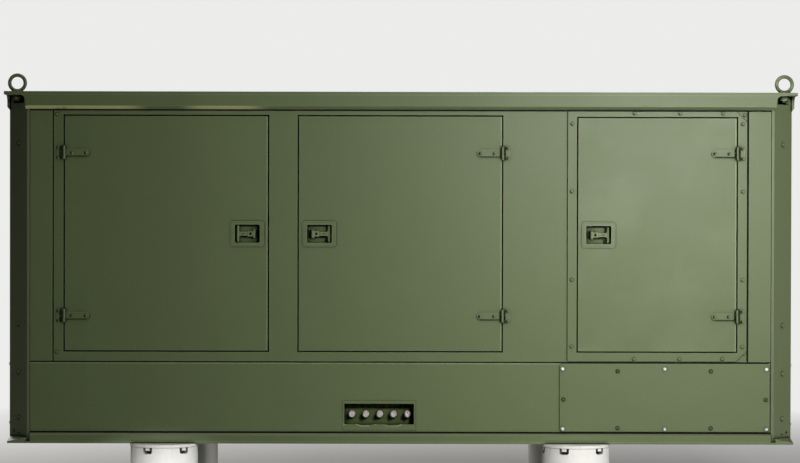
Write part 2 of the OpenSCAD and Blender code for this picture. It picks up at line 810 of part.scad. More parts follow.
// Two rails with cross members between them
module skid() color(machine_grey) {
    x0 = radiator_x0 - 20;
    x1 = alternator_x1 + 60;
    web = 14;
    front_and_back() difference() {
        block([x0, skid_y - skid_w / 2, z_floor], [x1, skid_out, machine_z]);
        block([x0 - 1, skid_y, z_floor + web], [x1 + 1, skid_out + 1, machine_z - web]);
    }
    for (x = [x0, engine_x1 - foot_w / 2, x1 - foot_w])
        block([x, -skid_y, z_floor], [x + foot_w, skid_y, z_floor + skid_h * 0.5]);
}

// Feet that stand on both skid rails
module machine_feet(xs, inner, h) front_and_back() for (x = xs) {
    block([x, inner, machine_z], [x + foot_w, skid_out, machine_z + 14]);
    block([x, inner, machine_z], [x + foot_w, skid_y, machine_z + h]);
}

// A cylinder block with its sump, head, rocker covers, manifolds, fan and air filter
module engine() color(machine_grey) {
    hw = engine_w / 2;
    block_z = machine_z + engine_h * 0.62;
    head_z = machine_z + engine_h * 0.84;
    top_z = machine_z + engine_h;
    cylinders = 6;
    pitch = (engine_l - 120) / cylinders;
    block([engine_x0 + 20, -hw * 0.8, machine_z], [engine_x1 - 60, hw * 0.8, block_z]);
    block([engine_x0 + 20, -hw, machine_z + 60], [engine_x1 - 60, hw, machine_z + engine_h * 0.4]);
    block([engine_x0 + 60, -hw * 0.62, z_floor + skid_h * 0.55], [engine_x1 - 60, hw * 0.62, machine_z + eps]);
    block([engine_x0 + 30, -hw * 0.62, block_z - eps], [engine_x1 - 70, hw * 0.62, head_z]);
    for (i = [0:cylinders - 1]) translate([engine_x0 + 60 + i * pitch, 0, 0]) {
        block([5, -hw * 0.42, head_z - eps], [pitch - 5, hw * 0.42, top_z]);
        front_and_back() block([pitch / 2 - 22, hw * 0.6, head_z - 70], [pitch / 2 + 22, hw * 0.95, head_z - 26]);
    }
    front_and_back() along_x(engine_x0 + 50, engine_x1 - 90, hw, head_z - 48, 72);
    along_x(engine_x1 - 60 - eps, engine_x1, 0, shaft_z, alternator_d * 0.84);
    along_x(engine_x0 - 10, engine_x0 + 21, 0, shaft_z, 190);
    engine_fan();
    machine_feet([engine_x0 + 90, engine_x1 - 60 - 2 * foot_w], hw * 0.8 - eps, 60 + eps);
}

// The fan between the engine and the radiator
module engine_fan() {
    blades = 7;
    fan_r = 205;
    hub_x = engine_x0 - 62;
    along_x(hub_x, engine_x0 - 9, 0, shaft_z + 60, 110);
    for (i = [0:blades - 1]) translate([hub_x + 26, 0, shaft_z + 60]) rotate([i * 360 / blades, 0, 0])
        translate([0, 0, 30]) rotate([0, 0, 32]) translate([-4, -36, 0]) cube([8, 72, fan_r - 30]);
}

// A ribbed barrel between two end bells, with a terminal box on top
module alternator() color(machine_grey) {
    bell_l = 110;
    ribs = 9;
    rib_t = 14;
    x0 = engine_x1;
    x1 = alternator_x1;
    span = (x1 - x0 - 2 * bell_l - rib_t) / (ribs - 1);
    along_x(x0, x0 + bell_l, 0, shaft_z, alternator_d * 0.94);
    along_x(x0 + bell_l - eps, x1 - bell_l + eps, 0, shaft_z, alternator_d * 0.93);
    for (i = [0:ribs - 1]) along_x(x0 + bell_l + i * span, x0 + bell_l + i * span + rib_t, 0, shaft_z, alternator_d);
    along_x(x1 - bell_l, x1 - 30, 0, shaft_z, alternator_d * 0.9);
    along_x(x1 - 31, x1, 0, shaft_z, alternator_d * 0.6);
    block([x0 + bell_l + 40, -150, shaft_z], [x1 - bell_l - 30, 150, shaft_z + alternator_d / 2 + 130]);
    machine_feet([x0 + bell_l, x1 - bell_l - foot_w], alternator_d * 0.26, shaft_z - machine_z - alternator_d * 0.33);
}

// A core between two tanks and side channels, with a filler neck
module radiator() color(matt_black) {
    w = hy - rail_depth - 130;
    z0 = machine_z;
    z1 = z_face - 160;
    tank_h = 90;
    channel = 34;
    x1 = radiator_x0 + radiator_t;
    block([radiator_x0 + 18, -w + channel - eps, z0 + tank_h - eps],
          [x1 - 18, w - channel + eps, z1 - tank_h + eps]);
    block([radiator_x0, -w, z0], [x1, w, z0 + tank_h]);
    block([radiator_x0, -w, z1 - tank_h], [x1, w, z1]);
    front_and_back() block([radiator_x0 + 8, w - channel, z0 + tank_h - eps], [x1 - 8, w, z1 - tank_h + eps]);
    translate([radiator_x0 + radiator_t / 2, 0, z1 - eps]) cylinder(d = 52, h = 34);
}

// A cabinet on a plinth, with a raised door facing the third doorway
module control_cabinet() color(machine_grey) {
    x0 = alternator_x1 + 130;
    x1 = hx - 130;
    y0 = 210 - hy;
    plinth_h = 80;
    z1 = z_floor + 620;
    door_in = 30;
    block([x0 + 20, y0 + 20, z_floor], [x1 - 20, -y0 - 20, z_floor + plinth_h]);
    block([x0, y0 + 4, z_floor + plinth_h - eps], [x1, -y0, z1]);
    block([x0 + door_in, y0, z_floor + plinth_h + door_in], [x1 - door_in, y0 + 4 + eps, z1 - door_in]);
}

// ---------------------------------------------------------------- stands

module stands() color(white_paint) front_and_back()
    for (x = [-stand_left_x, stand_right_x]) translate([x, oy - stand_setback, 0]) stand();

// A round stand with a rim, and three pairs of lug holes under it
module stand() {
    hole_r = 10;
    hole_depth = 40;
    pair_angle = 27.5;
    turn = 8.5;
    rim_out = 1.5;
    rim_z = stand_h - rim_h;
    difference() {
        cylinder(d = stand_d, h = stand_h);
        each_lug_hole(turn, pair_angle) translate([0, 0, rim_z])
            front_sheet(stand_d / 2 + 1, hole_depth) round_rect(lug_hole_w, 2 * lug_hole_h, hole_r);
    }
    translate([0, 0, rim_z]) cylinder(d = stand_d + 2 * rim_out, h = rim_h);
    each_lug_hole(turn, pair_angle) lug(rim_z);
}

module each_lug_hole(turn, pair_angle) for (i = [0:2], side = [-1, 1])
    rotate([0, 0, 180 - turn + 120 * i + side * pair_angle]) mirror([0, 1, 0]) children();

// The lug that hangs in a hole's upper half
module lug(z) block([-10, -stand_d / 2 + 1, z - lug_hole_h / 2], [10, -stand_d / 2 + 7, z + eps]);

base_plate();
bottom_rails();
corner_posts();
waist_rails();
uprights();
top_rails();
roof_plate();
lifting_eyes();
panel_seals();
front_strips();
front_panel();
door_frame();
door_jambs();
door_seals();
lower_front_panel();
cover_plate();
terminal_board();
terminal_studs();
door_1();
door_2();
door_3();
door_1_straps();
door_2_straps();
door_3_straps();
hinge_leaves();
latch_pan_1();
latch_pan_2();
latch_pan_3();
handle_1();
handle_2();
handle_3();
end_panels();
end_covers();
back_panel();
back_strips();
back_doors();
back_hinges();
back_latches();
lower_back_panel();
skid();
engine();
alternator();
radiator();
control_cabinet();
stands();
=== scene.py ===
import json
import math
import random

import bmesh
import bpy
from mathutils import Matrix, Vector


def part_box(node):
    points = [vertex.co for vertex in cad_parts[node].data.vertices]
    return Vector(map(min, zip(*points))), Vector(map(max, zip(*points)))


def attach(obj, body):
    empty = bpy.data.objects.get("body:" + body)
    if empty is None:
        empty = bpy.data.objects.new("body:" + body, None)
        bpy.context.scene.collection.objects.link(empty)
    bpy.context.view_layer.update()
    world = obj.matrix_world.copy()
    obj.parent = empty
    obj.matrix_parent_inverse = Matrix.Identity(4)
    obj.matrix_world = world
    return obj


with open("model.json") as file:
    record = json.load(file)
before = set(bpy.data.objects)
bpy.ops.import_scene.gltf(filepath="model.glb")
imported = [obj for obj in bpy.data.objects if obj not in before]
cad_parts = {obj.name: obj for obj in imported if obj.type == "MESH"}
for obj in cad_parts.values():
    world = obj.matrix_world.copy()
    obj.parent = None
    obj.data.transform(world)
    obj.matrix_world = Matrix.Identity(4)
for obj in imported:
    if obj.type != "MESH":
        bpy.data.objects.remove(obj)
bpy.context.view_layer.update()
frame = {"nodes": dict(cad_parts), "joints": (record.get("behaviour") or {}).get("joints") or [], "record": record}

MM = 0.001

# Colours are linear
OLIVE = (0.122, 0.163, 0.067)
OLIVE_WORN_AND_LIT = (0.27, 0.31, 0.18)
POST_OLIVE = (0.137, 0.168, 0.083)
CORNER_SHADE = (0.022, 0.026, 0.012)
SHADE_BLACK = (0.004, 0.004, 0.003)
DUST = (0.23, 0.215, 0.15)
BARE_STEEL = (0.80, 0.79, 0.73)
STAND_WHITE = (0.88, 0.87, 0.83)
STAND_RUNS = (0.52, 0.44, 0.34)
STAND_FOOT = (0.30, 0.25, 0.19)
STAND_CORNER_SHADE = (0.30, 0.22, 0.14)
RUST = (0.20, 0.085, 0.035)
ZINC = (0.84, 0.83, 0.80)
ZINC_DARK_CORNERS = (0.10, 0.09, 0.07)
CAP = (0.96, 0.88, 0.83)
CAP_SPECKS = (0.05, 0.045, 0.035)
CAP_SHADOW = (0.012, 0.014, 0.008)
RUBBER = (0.006, 0.006, 0.0055)
MATTE_BLACK = (0.024, 0.024, 0.023)
MACHINE = (0.16, 0.175, 0.17)
MACHINE_WORN_AND_LIT = (0.30, 0.30, 0.29)
FLOOR = (0.62, 0.60, 0.57)
BACKDROP = (0.84, 0.84, 0.83)
AMBIENT = (0.045, 0.045, 0.048)

# The record's joints and slots, and sizes that the fittings share, in metres
JOINTS = {j["name"]: j for j in frame["joints"]}
SLOTS = {part["node"]: part["material_slot"] for part in frame["record"]["subparts"]}
DOORS = (1, 2, 3)
EYES = ("fl", "fr", "bl", "br")
CORNER_WAYS = ((-1, -1), (1, -1), (-1, 1), (1, 1))
FRONT, BACK = (0, -1), (0, 1)
HEAD_SHADE = (-0.6, 0.0, -0.8)
CHAMFER = 86 * MM
STRAP_HALF = 14.5 * MM
STRAP_BOLTS = (33 * MM, 92 * MM)
LEAF_BOLT = (23 * MM, 21 * MM)
PLATE = 4 * MM
STUD_R = 16 * MM
STUDS = 5


# ---------------------------------------------------------------- places

def corners(box):
    """A box's low and high corners, as vectors."""
    return Vector(box[0]), Vector(box[1])


def opening(name):
    """The corners of one of the record's openings."""
    return corners(next(o["box_m"] for o in frame["record"]["physics"]["openings"] if o["name"] == name))


def latch_place(i):
    """A handle's pivot, and the way it points along X."""
    joint = JOINTS[f"handle_{i}_fold"]
    return (*joint["pos_m"], -joint["axis"][2])


def hinge_places(i):
    """The axis of a door's hinges, the way its straps point, and their two heights."""
    x, y, _ = JOINTS[f"door_{i}_hinge"]["pos_m"]
    lo, hi = corners(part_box(f"door_{i}_straps"))
    return x, y, (1 if i == 1 else -1), (lo.z + STRAP_HALF, hi.z - STRAP_HALF)


def stud_row():
    """The corners of the row of load studs, and their pitch."""
    lo, hi = corners(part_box("terminal_studs"))
    return lo, hi, (hi.x - lo.x - 2 * STUD_R) / (STUDS - 1)


def grid(xs, y, zs, way=FRONT):
    """Places for fasteners at each x and z of a plane, all looking one way."""
    return [((x, y, z), way) for x in xs for z in zs]


def spaced(a, b, pitch):
    """Places from a to b, evenly spaced and about a pitch apart."""
    n = max(1, round((b - a) / pitch))
    return [a + (b - a) * i / n for i in range(n + 1)]


base_z = corners(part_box("base_plate"))[0].z
roof_z = corners(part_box("roof_plate"))[1].z
panel_lo, panel_hi = corners(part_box("front_panel"))
_, lower_hi = corners(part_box("lower_back_panel"))
cover_lo, cover_hi = corners(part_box("cover_plate"))
frame_lo, frame_hi = corners(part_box("door_frame"))
end_lo, end_hi = corners(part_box("end_covers"))
face_y = panel_lo.y
wall_x = end_hi.x


# ---------------------------------------------------------------- materials

class Surface:
    """One procedural material: a Principled shader, and short ways to feed its sockets."""

    def __init__(self, name, color, rough, metallic=0.0):
        self.mat = bpy.data.materials.new(name)
        self.mat.use_nodes = True
        self.tree = self.mat.node_tree
        self.shader = self.tree.nodes["Principled BSDF"]
        self.shader.inputs["Base Color"].default_value = (*color, 1)
        self.shader.inputs["Roughness"].default_value = rough
        self.shader.inputs["Metallic"].default_value = metallic
        self.coords = self.tree.nodes.new("ShaderNodeTexCoord").outputs["Object"]

    def plug(self, value, socket):
        """Links an output to a socket, or sets the socket to a plain value."""
        if hasattr(value, "is_output"):
            self.tree.links.new(value, socket)
        else:
            socket.default_value = value

    def node(self, kind, inputs=(), **settings):
        """Adds a node; its inputs are sockets or plain values."""
        made = self.tree.nodes.new(kind)
        for key, value in settings.items():
            setattr(made, key, value)
        for socket, value in dict(inputs).items():
            self.plug(value, made.inputs[socket])
        return made

    def places(self):
        """The X, Y and Z outputs of the object's own coordinates."""
        return self.node("ShaderNodeSeparateXYZ", {0: self.coords}).outputs

    def noise(self, scale, detail=2.0, stretch=None, rough=0.5):
        """Noise on the object's own coordinates, stretched if a scale for each axis is given."""
        vector = self.coords
        if stretch:
            vector = self.node("ShaderNodeMapping", {"Vector": self.coords, "Scale": stretch}).outputs[0]
        inputs = {"Vector": vector, "Scale": scale, "Detail": detail, "Roughness": rough}
        return self.node("ShaderNodeTexNoise", inputs).outputs[0]

    def remap(self, value, low, high, to_low=0.0, to_high=1.0):
        """Stretches a value from one range to another, and holds it there."""
        inputs = {0: value, 1: low, 2: high, 3: to_low, 4: to_high}
        return self.node("ShaderNodeMapRange", inputs, clamp=True).outputs[0]

    def math(self, operation, a, b=0.0):
        """One step of arithmetic."""
        return self.node("ShaderNodeMath", {0: a, 1: b}, operation=operation).outputs[0]

    def times(self, a, b):
        """The product of two values."""
        return self.math("MULTIPLY", a, b)

    def mix(self, a, b, factor, blend="MIX"):
        """Mixes two colours, each a socket or a tuple."""
        made = self.node("ShaderNodeMix", data_type="RGBA", blend_type=blend)
        for index, value in ((0, factor), (6, a), (7, b)):
            self.plug((*value, 1) if isinstance(value, tuple) else value, made.inputs[index])
        return made.outputs[2]

    def facing(self, direction, low, high):
        """1 where the surface looks along a direction, and 0 where it looks away from it."""
        normal = self.node("ShaderNodeNewGeometry").outputs["Normal"]
        dot = self.node("ShaderNodeVectorMath", {0: normal, 1: direction}, operation="DOT_PRODUCT")
        return self.remap(dot.outputs["Value"], low, high)

    def edges(self, radius, low, high):
        """1 on sharp edges and 0 on flat faces."""
        rounded = self.node("ShaderNodeBevel", {"Radius": radius}, samples=4).outputs[0]
        return self.facing(rounded, 1 - low, 1 - high)

    def crevices(self, distance, low, high):
        """1 deep in gaps and 0 in the open."""
        made = self.node("ShaderNodeAmbientOcclusion", {"Distance": distance}, samples=6)
        return self.remap(made.outputs["AO"], high, low)

    def within(self, lo, hi, soft=2 * MM):
        """1 inside a box, with soft sides."""
        places = self.places()
        inside = 1.0
        for axis in range(3):
            middle, half = (lo[axis] + hi[axis]) / 2, (hi[axis] - lo[axis]) / 2
            away = self.math("ABSOLUTE", self.math("SUBTRACT", places[axis], middle))
            inside = self.times(self.remap(away, half, half - soft), inside)
        return inside

    def bands(self, axis, spans, soft=2 * MM):
        """1 inside any of the spans along an axis."""
        place = self.places()[axis]
        inside = 0.0
        for lo, hi in spans:
            away = self.math("ABSOLUTE", self.math("SUBTRACT", place, (lo + hi) / 2))
            inside = self.math("MAXIMUM", self.remap(away, (hi - lo) / 2 + soft, (hi - lo) / 2), inside)
        return inside

    def bump(self, *layers):
        """Stacks bump layers, each a (height socket, distance in metres) pair."""
        below = None
        for height, distance in layers:
            made = self.node("ShaderNodeBump", {"Height": height, "Distance": distance, "Strength": 1.0})
            if below is not None:
                self.tree.links.new(below, made.inputs["Normal"])
            below = made.outputs[0]
        self.tree.links.new(below, self.shader.inputs["Normal"])

    def finish(self, color, roughness):
        """Feeds the shader, and gives the material."""
        self.tree.links.new(color, self.shader.inputs["Base Color"])
        self.tree.links.new(roughness, self.shader.inputs["Roughness"])
        return self.mat


def scaled(color, k):
    """A colour made lighter or darker."""
    return tuple(k * c for c in color)


def vary(s, color, *layers):
    """Multiplies a colour by 1 plus some noise, each layer a (noise, amount) pair."""
    total = 1.0
    for noise, amount in layers:
        total = s.math("ADD", s.times(s.math("SUBTRACT", noise, 0.5), amount), total)
    return s.mix(color, total, 1.0, "MULTIPLY")


def pale_wear_and_highlights(s, shade, worn, edge_wear_and_highlight, bare, highlight_boxes, mottle):
    """Pale clouds, painted highlights in boxes, pale edges that are partly worn and partly a painted highlight,
    and edges worn to the metal.
    """
    if mottle:
        shade = s.mix(shade, worn, s.times(s.remap(s.noise(4.5, 3.0), 0.45, 0.70), mottle))
    for lo, hi in highlight_boxes:
        patch = s.times(s.within(lo, hi), s.remap(s.noise(160.0, 3.0), 0.35, 0.6, 0.15, 0.5))
        shade = s.mix(shade, scaled(worn, 1.35), patch)
    edge = s.edges(4.0 * MM, 0.004, 0.05)
    # Pale edges: partly worn paint, partly a painted highlight where edges catch the light
    chips = s.times(edge, s.remap(s.noise(90.0, 4.0), 0.30, 0.62, 0.4, 1.0))
    shade = s.mix(shade, worn, s.times(chips, edge_wear_and_highlight))
    for lo, hi in bare:
        patch = s.times(s.within(lo, hi), s.remap(s.noise(130.0, 3.0), 0.38, 0.48))
        shade = s.mix(shade, BARE_STEEL, s.times(patch, s.remap(edge, 0.0, 0.5)))
    return shade


def spread(s, unshaded_spans):
    """How strong the painted shade in corners is: patchy all over, and thin in the unshaded places."""
    patchy = s.remap(s.noise(40.0, 3.0), 0.1, 0.6, 0.7, 1.0)
    for x_spans, z_spans in unshaded_spans:
        inside = s.times(s.bands(0, x_spans), s.bands(2, z_spans))
        patchy = s.times(patchy, s.remap(inside, 0.0, 1.0, 1.0, 0.25))
    return patchy


def shadow_mask(s, boxes, soft):
    """1 where a shadow is painted, a little uneven."""
    shadowed = 0.0
    for lo, hi in boxes:
        shadowed = s.math("MAXIMUM", shadowed, s.within(lo, hi, soft))
    return s.times(shadowed, s.remap(s.noise(120.0, 4.0), 0.32, 0.55, 0.6, 1.0))


def paint(name, color, rough, worn=OLIVE_WORN_AND_LIT, edge_wear_and_highlight=0.6, dust=0.25, bare=(), shadow_boxes=(), highlight_boxes=(), unshaded_spans=(),
          soft=2 * MM, depth=(0.42, 0.9), underside=0.0, mottle=0.0):
    """Sprayed paint over sheet steel: faint clouds, orange peel, dust, edges that are worn and painted pale as
    lit, and painted shade in corners and gaps.

    bare boxes have their edges worn to the metal, the boxes of painted shadows go dark with sides as soft
    as given, and the boxes of painted highlights go paler. The given pairs of x and z spans get little
    painted shade. worn is the pale colour of wear and of painted highlights. depth is the strength of the
    wide and the narrow painted shade in corners, underside that of the painted shade on a head's lower
    left, and mottle that of pale clouds.
    """
    s = Surface(name, color, rough)
    cloud = s.noise(7.0, 4.0, rough=0.6)
    scuffs = s.remap(s.noise(70.0, 5.0, stretch=(1.0, 1.0, 0.25), rough=0.7), 0.60, 0.78)
    shade = vary(s, color, (cloud, 0.10), (s.noise(1.1, 2.0), 0.10), (s.noise(520.0, 2.0), 0.06))
    shade = s.mix(shade, worn, s.times(scuffs, 0.12))
    shade = pale_wear_and_highlights(s, shade, worn, edge_wear_and_highlight, bare, highlight_boxes, mottle)
    settled = s.times(s.facing((0, 0, 1), 0.25, 0.9), s.remap(s.noise(26.0, 4.0), 0.30, 0.75))
    shade = s.mix(shade, DUST, s.times(settled, dust))
    # Painted shade in corners, wide and narrow, thin in the unshaded places
    patchy = spread(s, unshaded_spans)
    shaded = s.times(s.crevices(22 * MM, 0.70, 0.985), patchy)
    narrow_shade = s.times(s.times(s.crevices(8 * MM, 0.76, 0.97), patchy), depth[1])
    shade = s.mix(s.mix(shade, CORNER_SHADE, s.times(shaded, depth[0])), CORNER_SHADE, narrow_shade)
    # Painted shade on the lower left of round heads
    if underside:
        shade = s.mix(shade, SHADE_BLACK, s.times(s.facing(HEAD_SHADE, 0.12, 0.55), underside))
    # Painted shadows inside the given boxes
    if shadow_boxes:
        shadowed = shadow_mask(s, shadow_boxes, soft)
        shade = s.mix(shade, SHADE_BLACK, s.times(shadowed, 0.9))
        narrow_shade = s.math("MAXIMUM", narrow_shade, shadowed)
    # Painted black shade deep in gaps and hollows
    shade = s.mix(shade, SHADE_BLACK, s.times(s.crevices(30 * MM, 0.25, 0.60), 0.97))
    gloss = s.math("ADD", s.remap(cloud, 0.3, 0.7, rough - 0.02, rough + 0.03), s.times(scuffs, 0.12))
    gloss = s.math("ADD", gloss, s.times(narrow_shade, 0.3))
    dull = s.math("MAXIMUM", s.math("MAXIMUM", narrow_shade, shaded), settled)
    s.plug(s.remap(dull, 0.0, 1.0, 0.45, 0.05), s.shader.inputs["Specular IOR Level"])
    s.bump((s.noise(2.2, 1.0), 0.3 * MM), (s.noise(750.0, 1.0), 0.03 * MM))
    return s.finish(shade, gloss)


def white_paint():
    """The stands' worn white paint: runs, chipped rims, a dirty foot, painted shade in the corners and painted
    black shade in the lug holes.
    """
    s = Surface("stand_paint", STAND_WHITE, 0.55)
    shade = vary(s, STAND_WHITE, (s.noise(14.0, 5.0, rough=0.65), 0.16), (s.noise(380.0, 2.0), 0.05))
    runs = s.remap(s.noise(24.0, 4.0, stretch=(1.0, 1.0, 0.16), rough=0.7), 0.56, 0.74)
    shade = s.mix(shade, STAND_RUNS, s.times(runs, 0.38))
    chips = s.times(s.edges(2.5 * MM, 0.02, 0.2), s.remap(s.noise(55.0, 4.0), 0.40, 0.62))
    shade = s.mix(shade, RUST, s.times(chips, 0.75))
    foot = s.times(s.remap(s.places()[2], 0.09, 0.0), s.remap(s.noise(18.0, 4.0), 0.25, 0.65))
    shade = s.mix(shade, STAND_FOOT, s.times(foot, 0.65))
    # Painted shade in the corners and under the rim, and painted black shade in the lug holes
    shade = s.mix(shade, STAND_CORNER_SHADE, s.times(s.crevices(7 * MM, 0.70, 0.97), 0.8))
    shade = s.mix(shade, SHADE_BLACK, s.crevices(26 * MM, 0.52, 0.78))
    s.bump((s.noise(60.0, 4.0), 0.35 * MM), (s.noise(420.0, 1.0), 0.05 * MM))
    return s.finish(shade, s.remap(runs, 0.0, 1.0, 0.5, 0.75))


def zinc_plate():
    """Bright zinc: crystals, fine scratches, and darker corners."""
    s = Surface("galvanised", ZINC, 0.36, 1.0)
    crystals = s.node("ShaderNodeTexVoronoi", {"Vector": s.coords, "Scale": 260.0}).outputs["Distance"]
    shade = vary(s, ZINC, (crystals, 0.5), (s.noise(150.0, 4.0, rough=0.7), 0.9))
    # Darker towards the corners
    shade = s.mix(shade, ZINC_DARK_CORNERS, s.times(s.crevices(6 * MM, 0.3, 0.85), 0.4))
    s.bump((s.noise(900.0, 2.0, stretch=(1.0, 0.08, 1.0)), 0.04 * MM))
    return s.finish(shade, s.remap(crystals, 0.0, 0.8, 0.30, 0.52))


def cap_metal():
    """The studs' caps: hammered bright metal, speckled, with a painted shadow towards the lower left."""
    s = Surface("stud_metal", (0.96, 0.91, 0.86), 0.34, 0.55)
    lo, hi, pitch = stud_row()
    x, _, z = s.places()
    along = s.math("SUBTRACT", x, lo.x + STUD_R + 4.4 * MM - pitch / 2)
    along = s.math("SUBTRACT", s.math("MODULO", along, pitch), pitch / 2)
    across = s.math("SUBTRACT", z, (lo.z + hi.z) / 2 + 2.6 * MM)
    away = s.math("SQRT", s.math("ADD", s.times(along, along), s.times(across, across)))
    shade = vary(s, CAP, (s.noise(330.0, 3.0, rough=0.65), 2.0), (s.noise(90.0, 2.0), 1.2))
    shade = s.mix(shade, CAP_SPECKS, s.remap(s.noise(420.0, 2.0), 0.56, 0.66, 0.0, 0.75))
    shade = s.mix(shade, CAP_SHADOW, s.remap(away, 11.6 * MM, 14.8 * MM, 0.0, 0.94))
    s.bump((s.noise(240.0, 2.0), 0.5 * MM))
    return s.finish(shade, s.remap(s.noise(200.0, 2.0), 0.3, 0.7, 0.24, 0.44))


def rubber():
    """Dull black rubber."""
    s = Surface("seal_rubber", RUBBER, 0.72)
    s.shader.inputs["Specular IOR Level"].default_value = 0.15
    shade = vary(s, RUBBER, (s.noise(45.0, 4.0), 0.5), (s.noise(600.0, 2.0), 0.25))
    s.bump((s.noise(380.0, 3.0), 0.12 * MM))
    return s.finish(shade, s.remap(s.noise(60.0, 3.0), 0.3, 0.7, 0.62, 0.82))


def radiator_black():
    """Matte black, with the fine fins of a radiator core."""
    s = Surface("radiator_black", (0.02, 0.02, 0.02), 0.6)
    inputs = {"Vector": s.coords, "Scale": 95.0, "Distortion": 0.6}
    fins = s.node("ShaderNodeTexWave", inputs, bands_direction="Z").outputs["Fac"]
    shade = vary(s, MATTE_BLACK, (fins, 1.1), (s.noise(20.0, 4.0), 0.5))
    s.bump((fins, 0.8 * MM))
    return s.finish(shade, s.remap(s.noise(30.0, 3.0), 0.3, 0.7, 0.5, 0.75))


# ---------------------------------------------------------------- where the paint is worn, and where shade and highlights are painted

def latch_boxes(i):
    """Painted shadows on a latch pan's floor and on the handle's hub and stem slot, and a painted highlight on its
    keyhole face.
    """
    x, y, z, way = latch_place(i)

    def box(near, far, low, high, front=-9):
        xs = sorted((x + way * near * MM, x + way * far * MM))
        return (xs[0], y + front * MM, z + low * MM), (xs[1], y + 0.1, z + high * MM)

    floor = [(-12, 62, -23, -3), (68, 90, -50, 50), (-60, 90, 27, 52), (-30, 4, -22, 20)]
    floor += [(-40, -14, -50, 50)] if way < 0 else [(45, 68, -45, -4), (50, 68, 2, 40)]
    hub_and_slot = [box(-22, 1, -19, 19), box(39, 55, -2.6, 2.6)]
    return [box(*sides, front=4) for sides in floor], hub_and_slot, [box(4, 28, -8, 8)]


def hinge_boxes(i):
    """Painted shadows at the sides of a door's hinge barrels, under its straps and beside their bolts."""
    x, y, way, heights = hinge_places(i)

    def box(x0, x1, z0, z1):
        return (x0, y - 0.02, z0), (x1, y + 0.02, z1)

    boxes = []
    for z in heights:
        sides = [(-22, -7)] if i == 1 else [(-14, -2), (5, 15)]
        boxes += [box(x + a * MM, x + b * MM, z - 28 * MM, z + 28 * MM) for a, b in sides]
        ends = sorted((x + way * 8 * MM, x + way * 96 * MM))
        boxes.append(box(*ends, z - 17.5 * MM, z - 11.5 * MM))
        bolts = [(x + way * at, z) for at in STRAP_BOLTS]
        bolts += [(x - way * LEAF_BOLT[0], z + dz) for dz in (-LEAF_BOLT[1], LEAF_BOLT[1])]
        boxes += [box(bx - 10 * MM, bx - 0.5 * MM, bz - 9 * MM, bz + 5 * MM) for bx, bz in bolts]
    return boxes


def unshaded_places():
    """The outer edges of the leaves and the upper edges of the straps: lit places that get little painted shade in
    their corners.
    """
    hinges = [hinge_places(i) for i in DOORS]
    heights = hinges[0][3]
    leaves = [sorted((x - way * 17 * MM, x - way * 38 * MM)) for x, _, way, _ in hinges]
    straps = [sorted((x + way * 12 * MM, x + way * 112 * MM)) for x, _, way, _ in hinges]
    return [(leaves, [(z - 32 * MM, z + 32 * MM) for z in heights]),
            (straps, [(z + 5 * MM, z + 21 * MM) for z in heights])]


def lit_edges():
    """The folded edges that get a pale painted highlight: the doors' right sides, and the right side of the left
    strip.
    """
    boxes = []
    for i in DOORS:
        lo, hi = corners(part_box(f"door_{i}"))
        boxes.append(((hi.x - 6 * MM, lo.y - 2 * MM, lo.z), (hi.x + MM, lo.y + 3 * MM, hi.z)))
    strip = (panel_lo.x - 9 * MM, face_y - 4 * MM, panel_lo.z), (panel_lo.x - MM, face_y + 3 * MM, panel_hi.z)
    return boxes + [strip]


def frame_gaps():
    """Painted shadows in the joints between the raised frame's sides and the panel under it."""
    spans = [(frame_hi.x - MM, frame_hi.x + 6 * MM), (frame_lo.x - 4.5 * MM, frame_lo.x + MM)]
    return [((x0, face_y - 2 * MM, frame_lo.z), (x1, face_y + 2 * MM, frame_hi.z)) for x0, x1 in spans]


def recess_edges():
    """Where cables have worn the paint off the lower edge of the terminal recess."""
    lo, _ = opening("terminal_recess")
    z, y0, y1 = lo.z - 10 * MM, lo.y - 10 * MM, lo.y + 8 * MM
    spans = [(-8, 10), (48, 108), (126, 134), (176, 240)]
    return [((lo.x + a * MM, y0, z), (lo.x + b * MM, y1, z + 15 * MM)) for a, b in spans]


def eye_feet():
    """The foot of each lifting eye, where hooks have chipped the paint."""
    boxes = [opening(f"lifting_eye_{corner}") for corner in EYES]
    return [((lo.x - 12 * MM, lo.y, roof_z), (hi.x + 12 * MM, hi.y, roof_z + 16 * MM)) for lo, hi in boxes]


def pan_paint(i):
    """A latch pan, a touch lighter than the panels as painted light, with soft painted shadows on its floor."""
    return paint(f"pan_paint_{i}", scaled(OLIVE, 1.05), 0.42, edge_wear_and_highlight=0.9, shadow_boxes=latch_boxes(i)[0],
                 soft=7 * MM, depth=(0.10, 0.45))


def grip_paint(i):
    """A handle, painted lighter than its pan as lit, with painted shade on its hub and stem slot and a painted
    highlight on its keyhole face.
    """
    _, shadow_boxes, highlight_boxes = latch_boxes(i)
    return paint(f"grip_paint_{i}", scaled(OLIVE, 1.3), 0.42, edge_wear_and_highlight=0.9, shadow_boxes=shadow_boxes, highlight_boxes=highlight_boxes,
                 depth=(0.10, 0.45))


def hinge_paint(name, boxes):
    """Straps and leaves, with painted shadows at their barrels and bolts."""
    return paint(name, OLIVE, 0.46, edge_wear_and_highlight=0.8, shadow_boxes=boxes, depth=(0.3, 0.5))


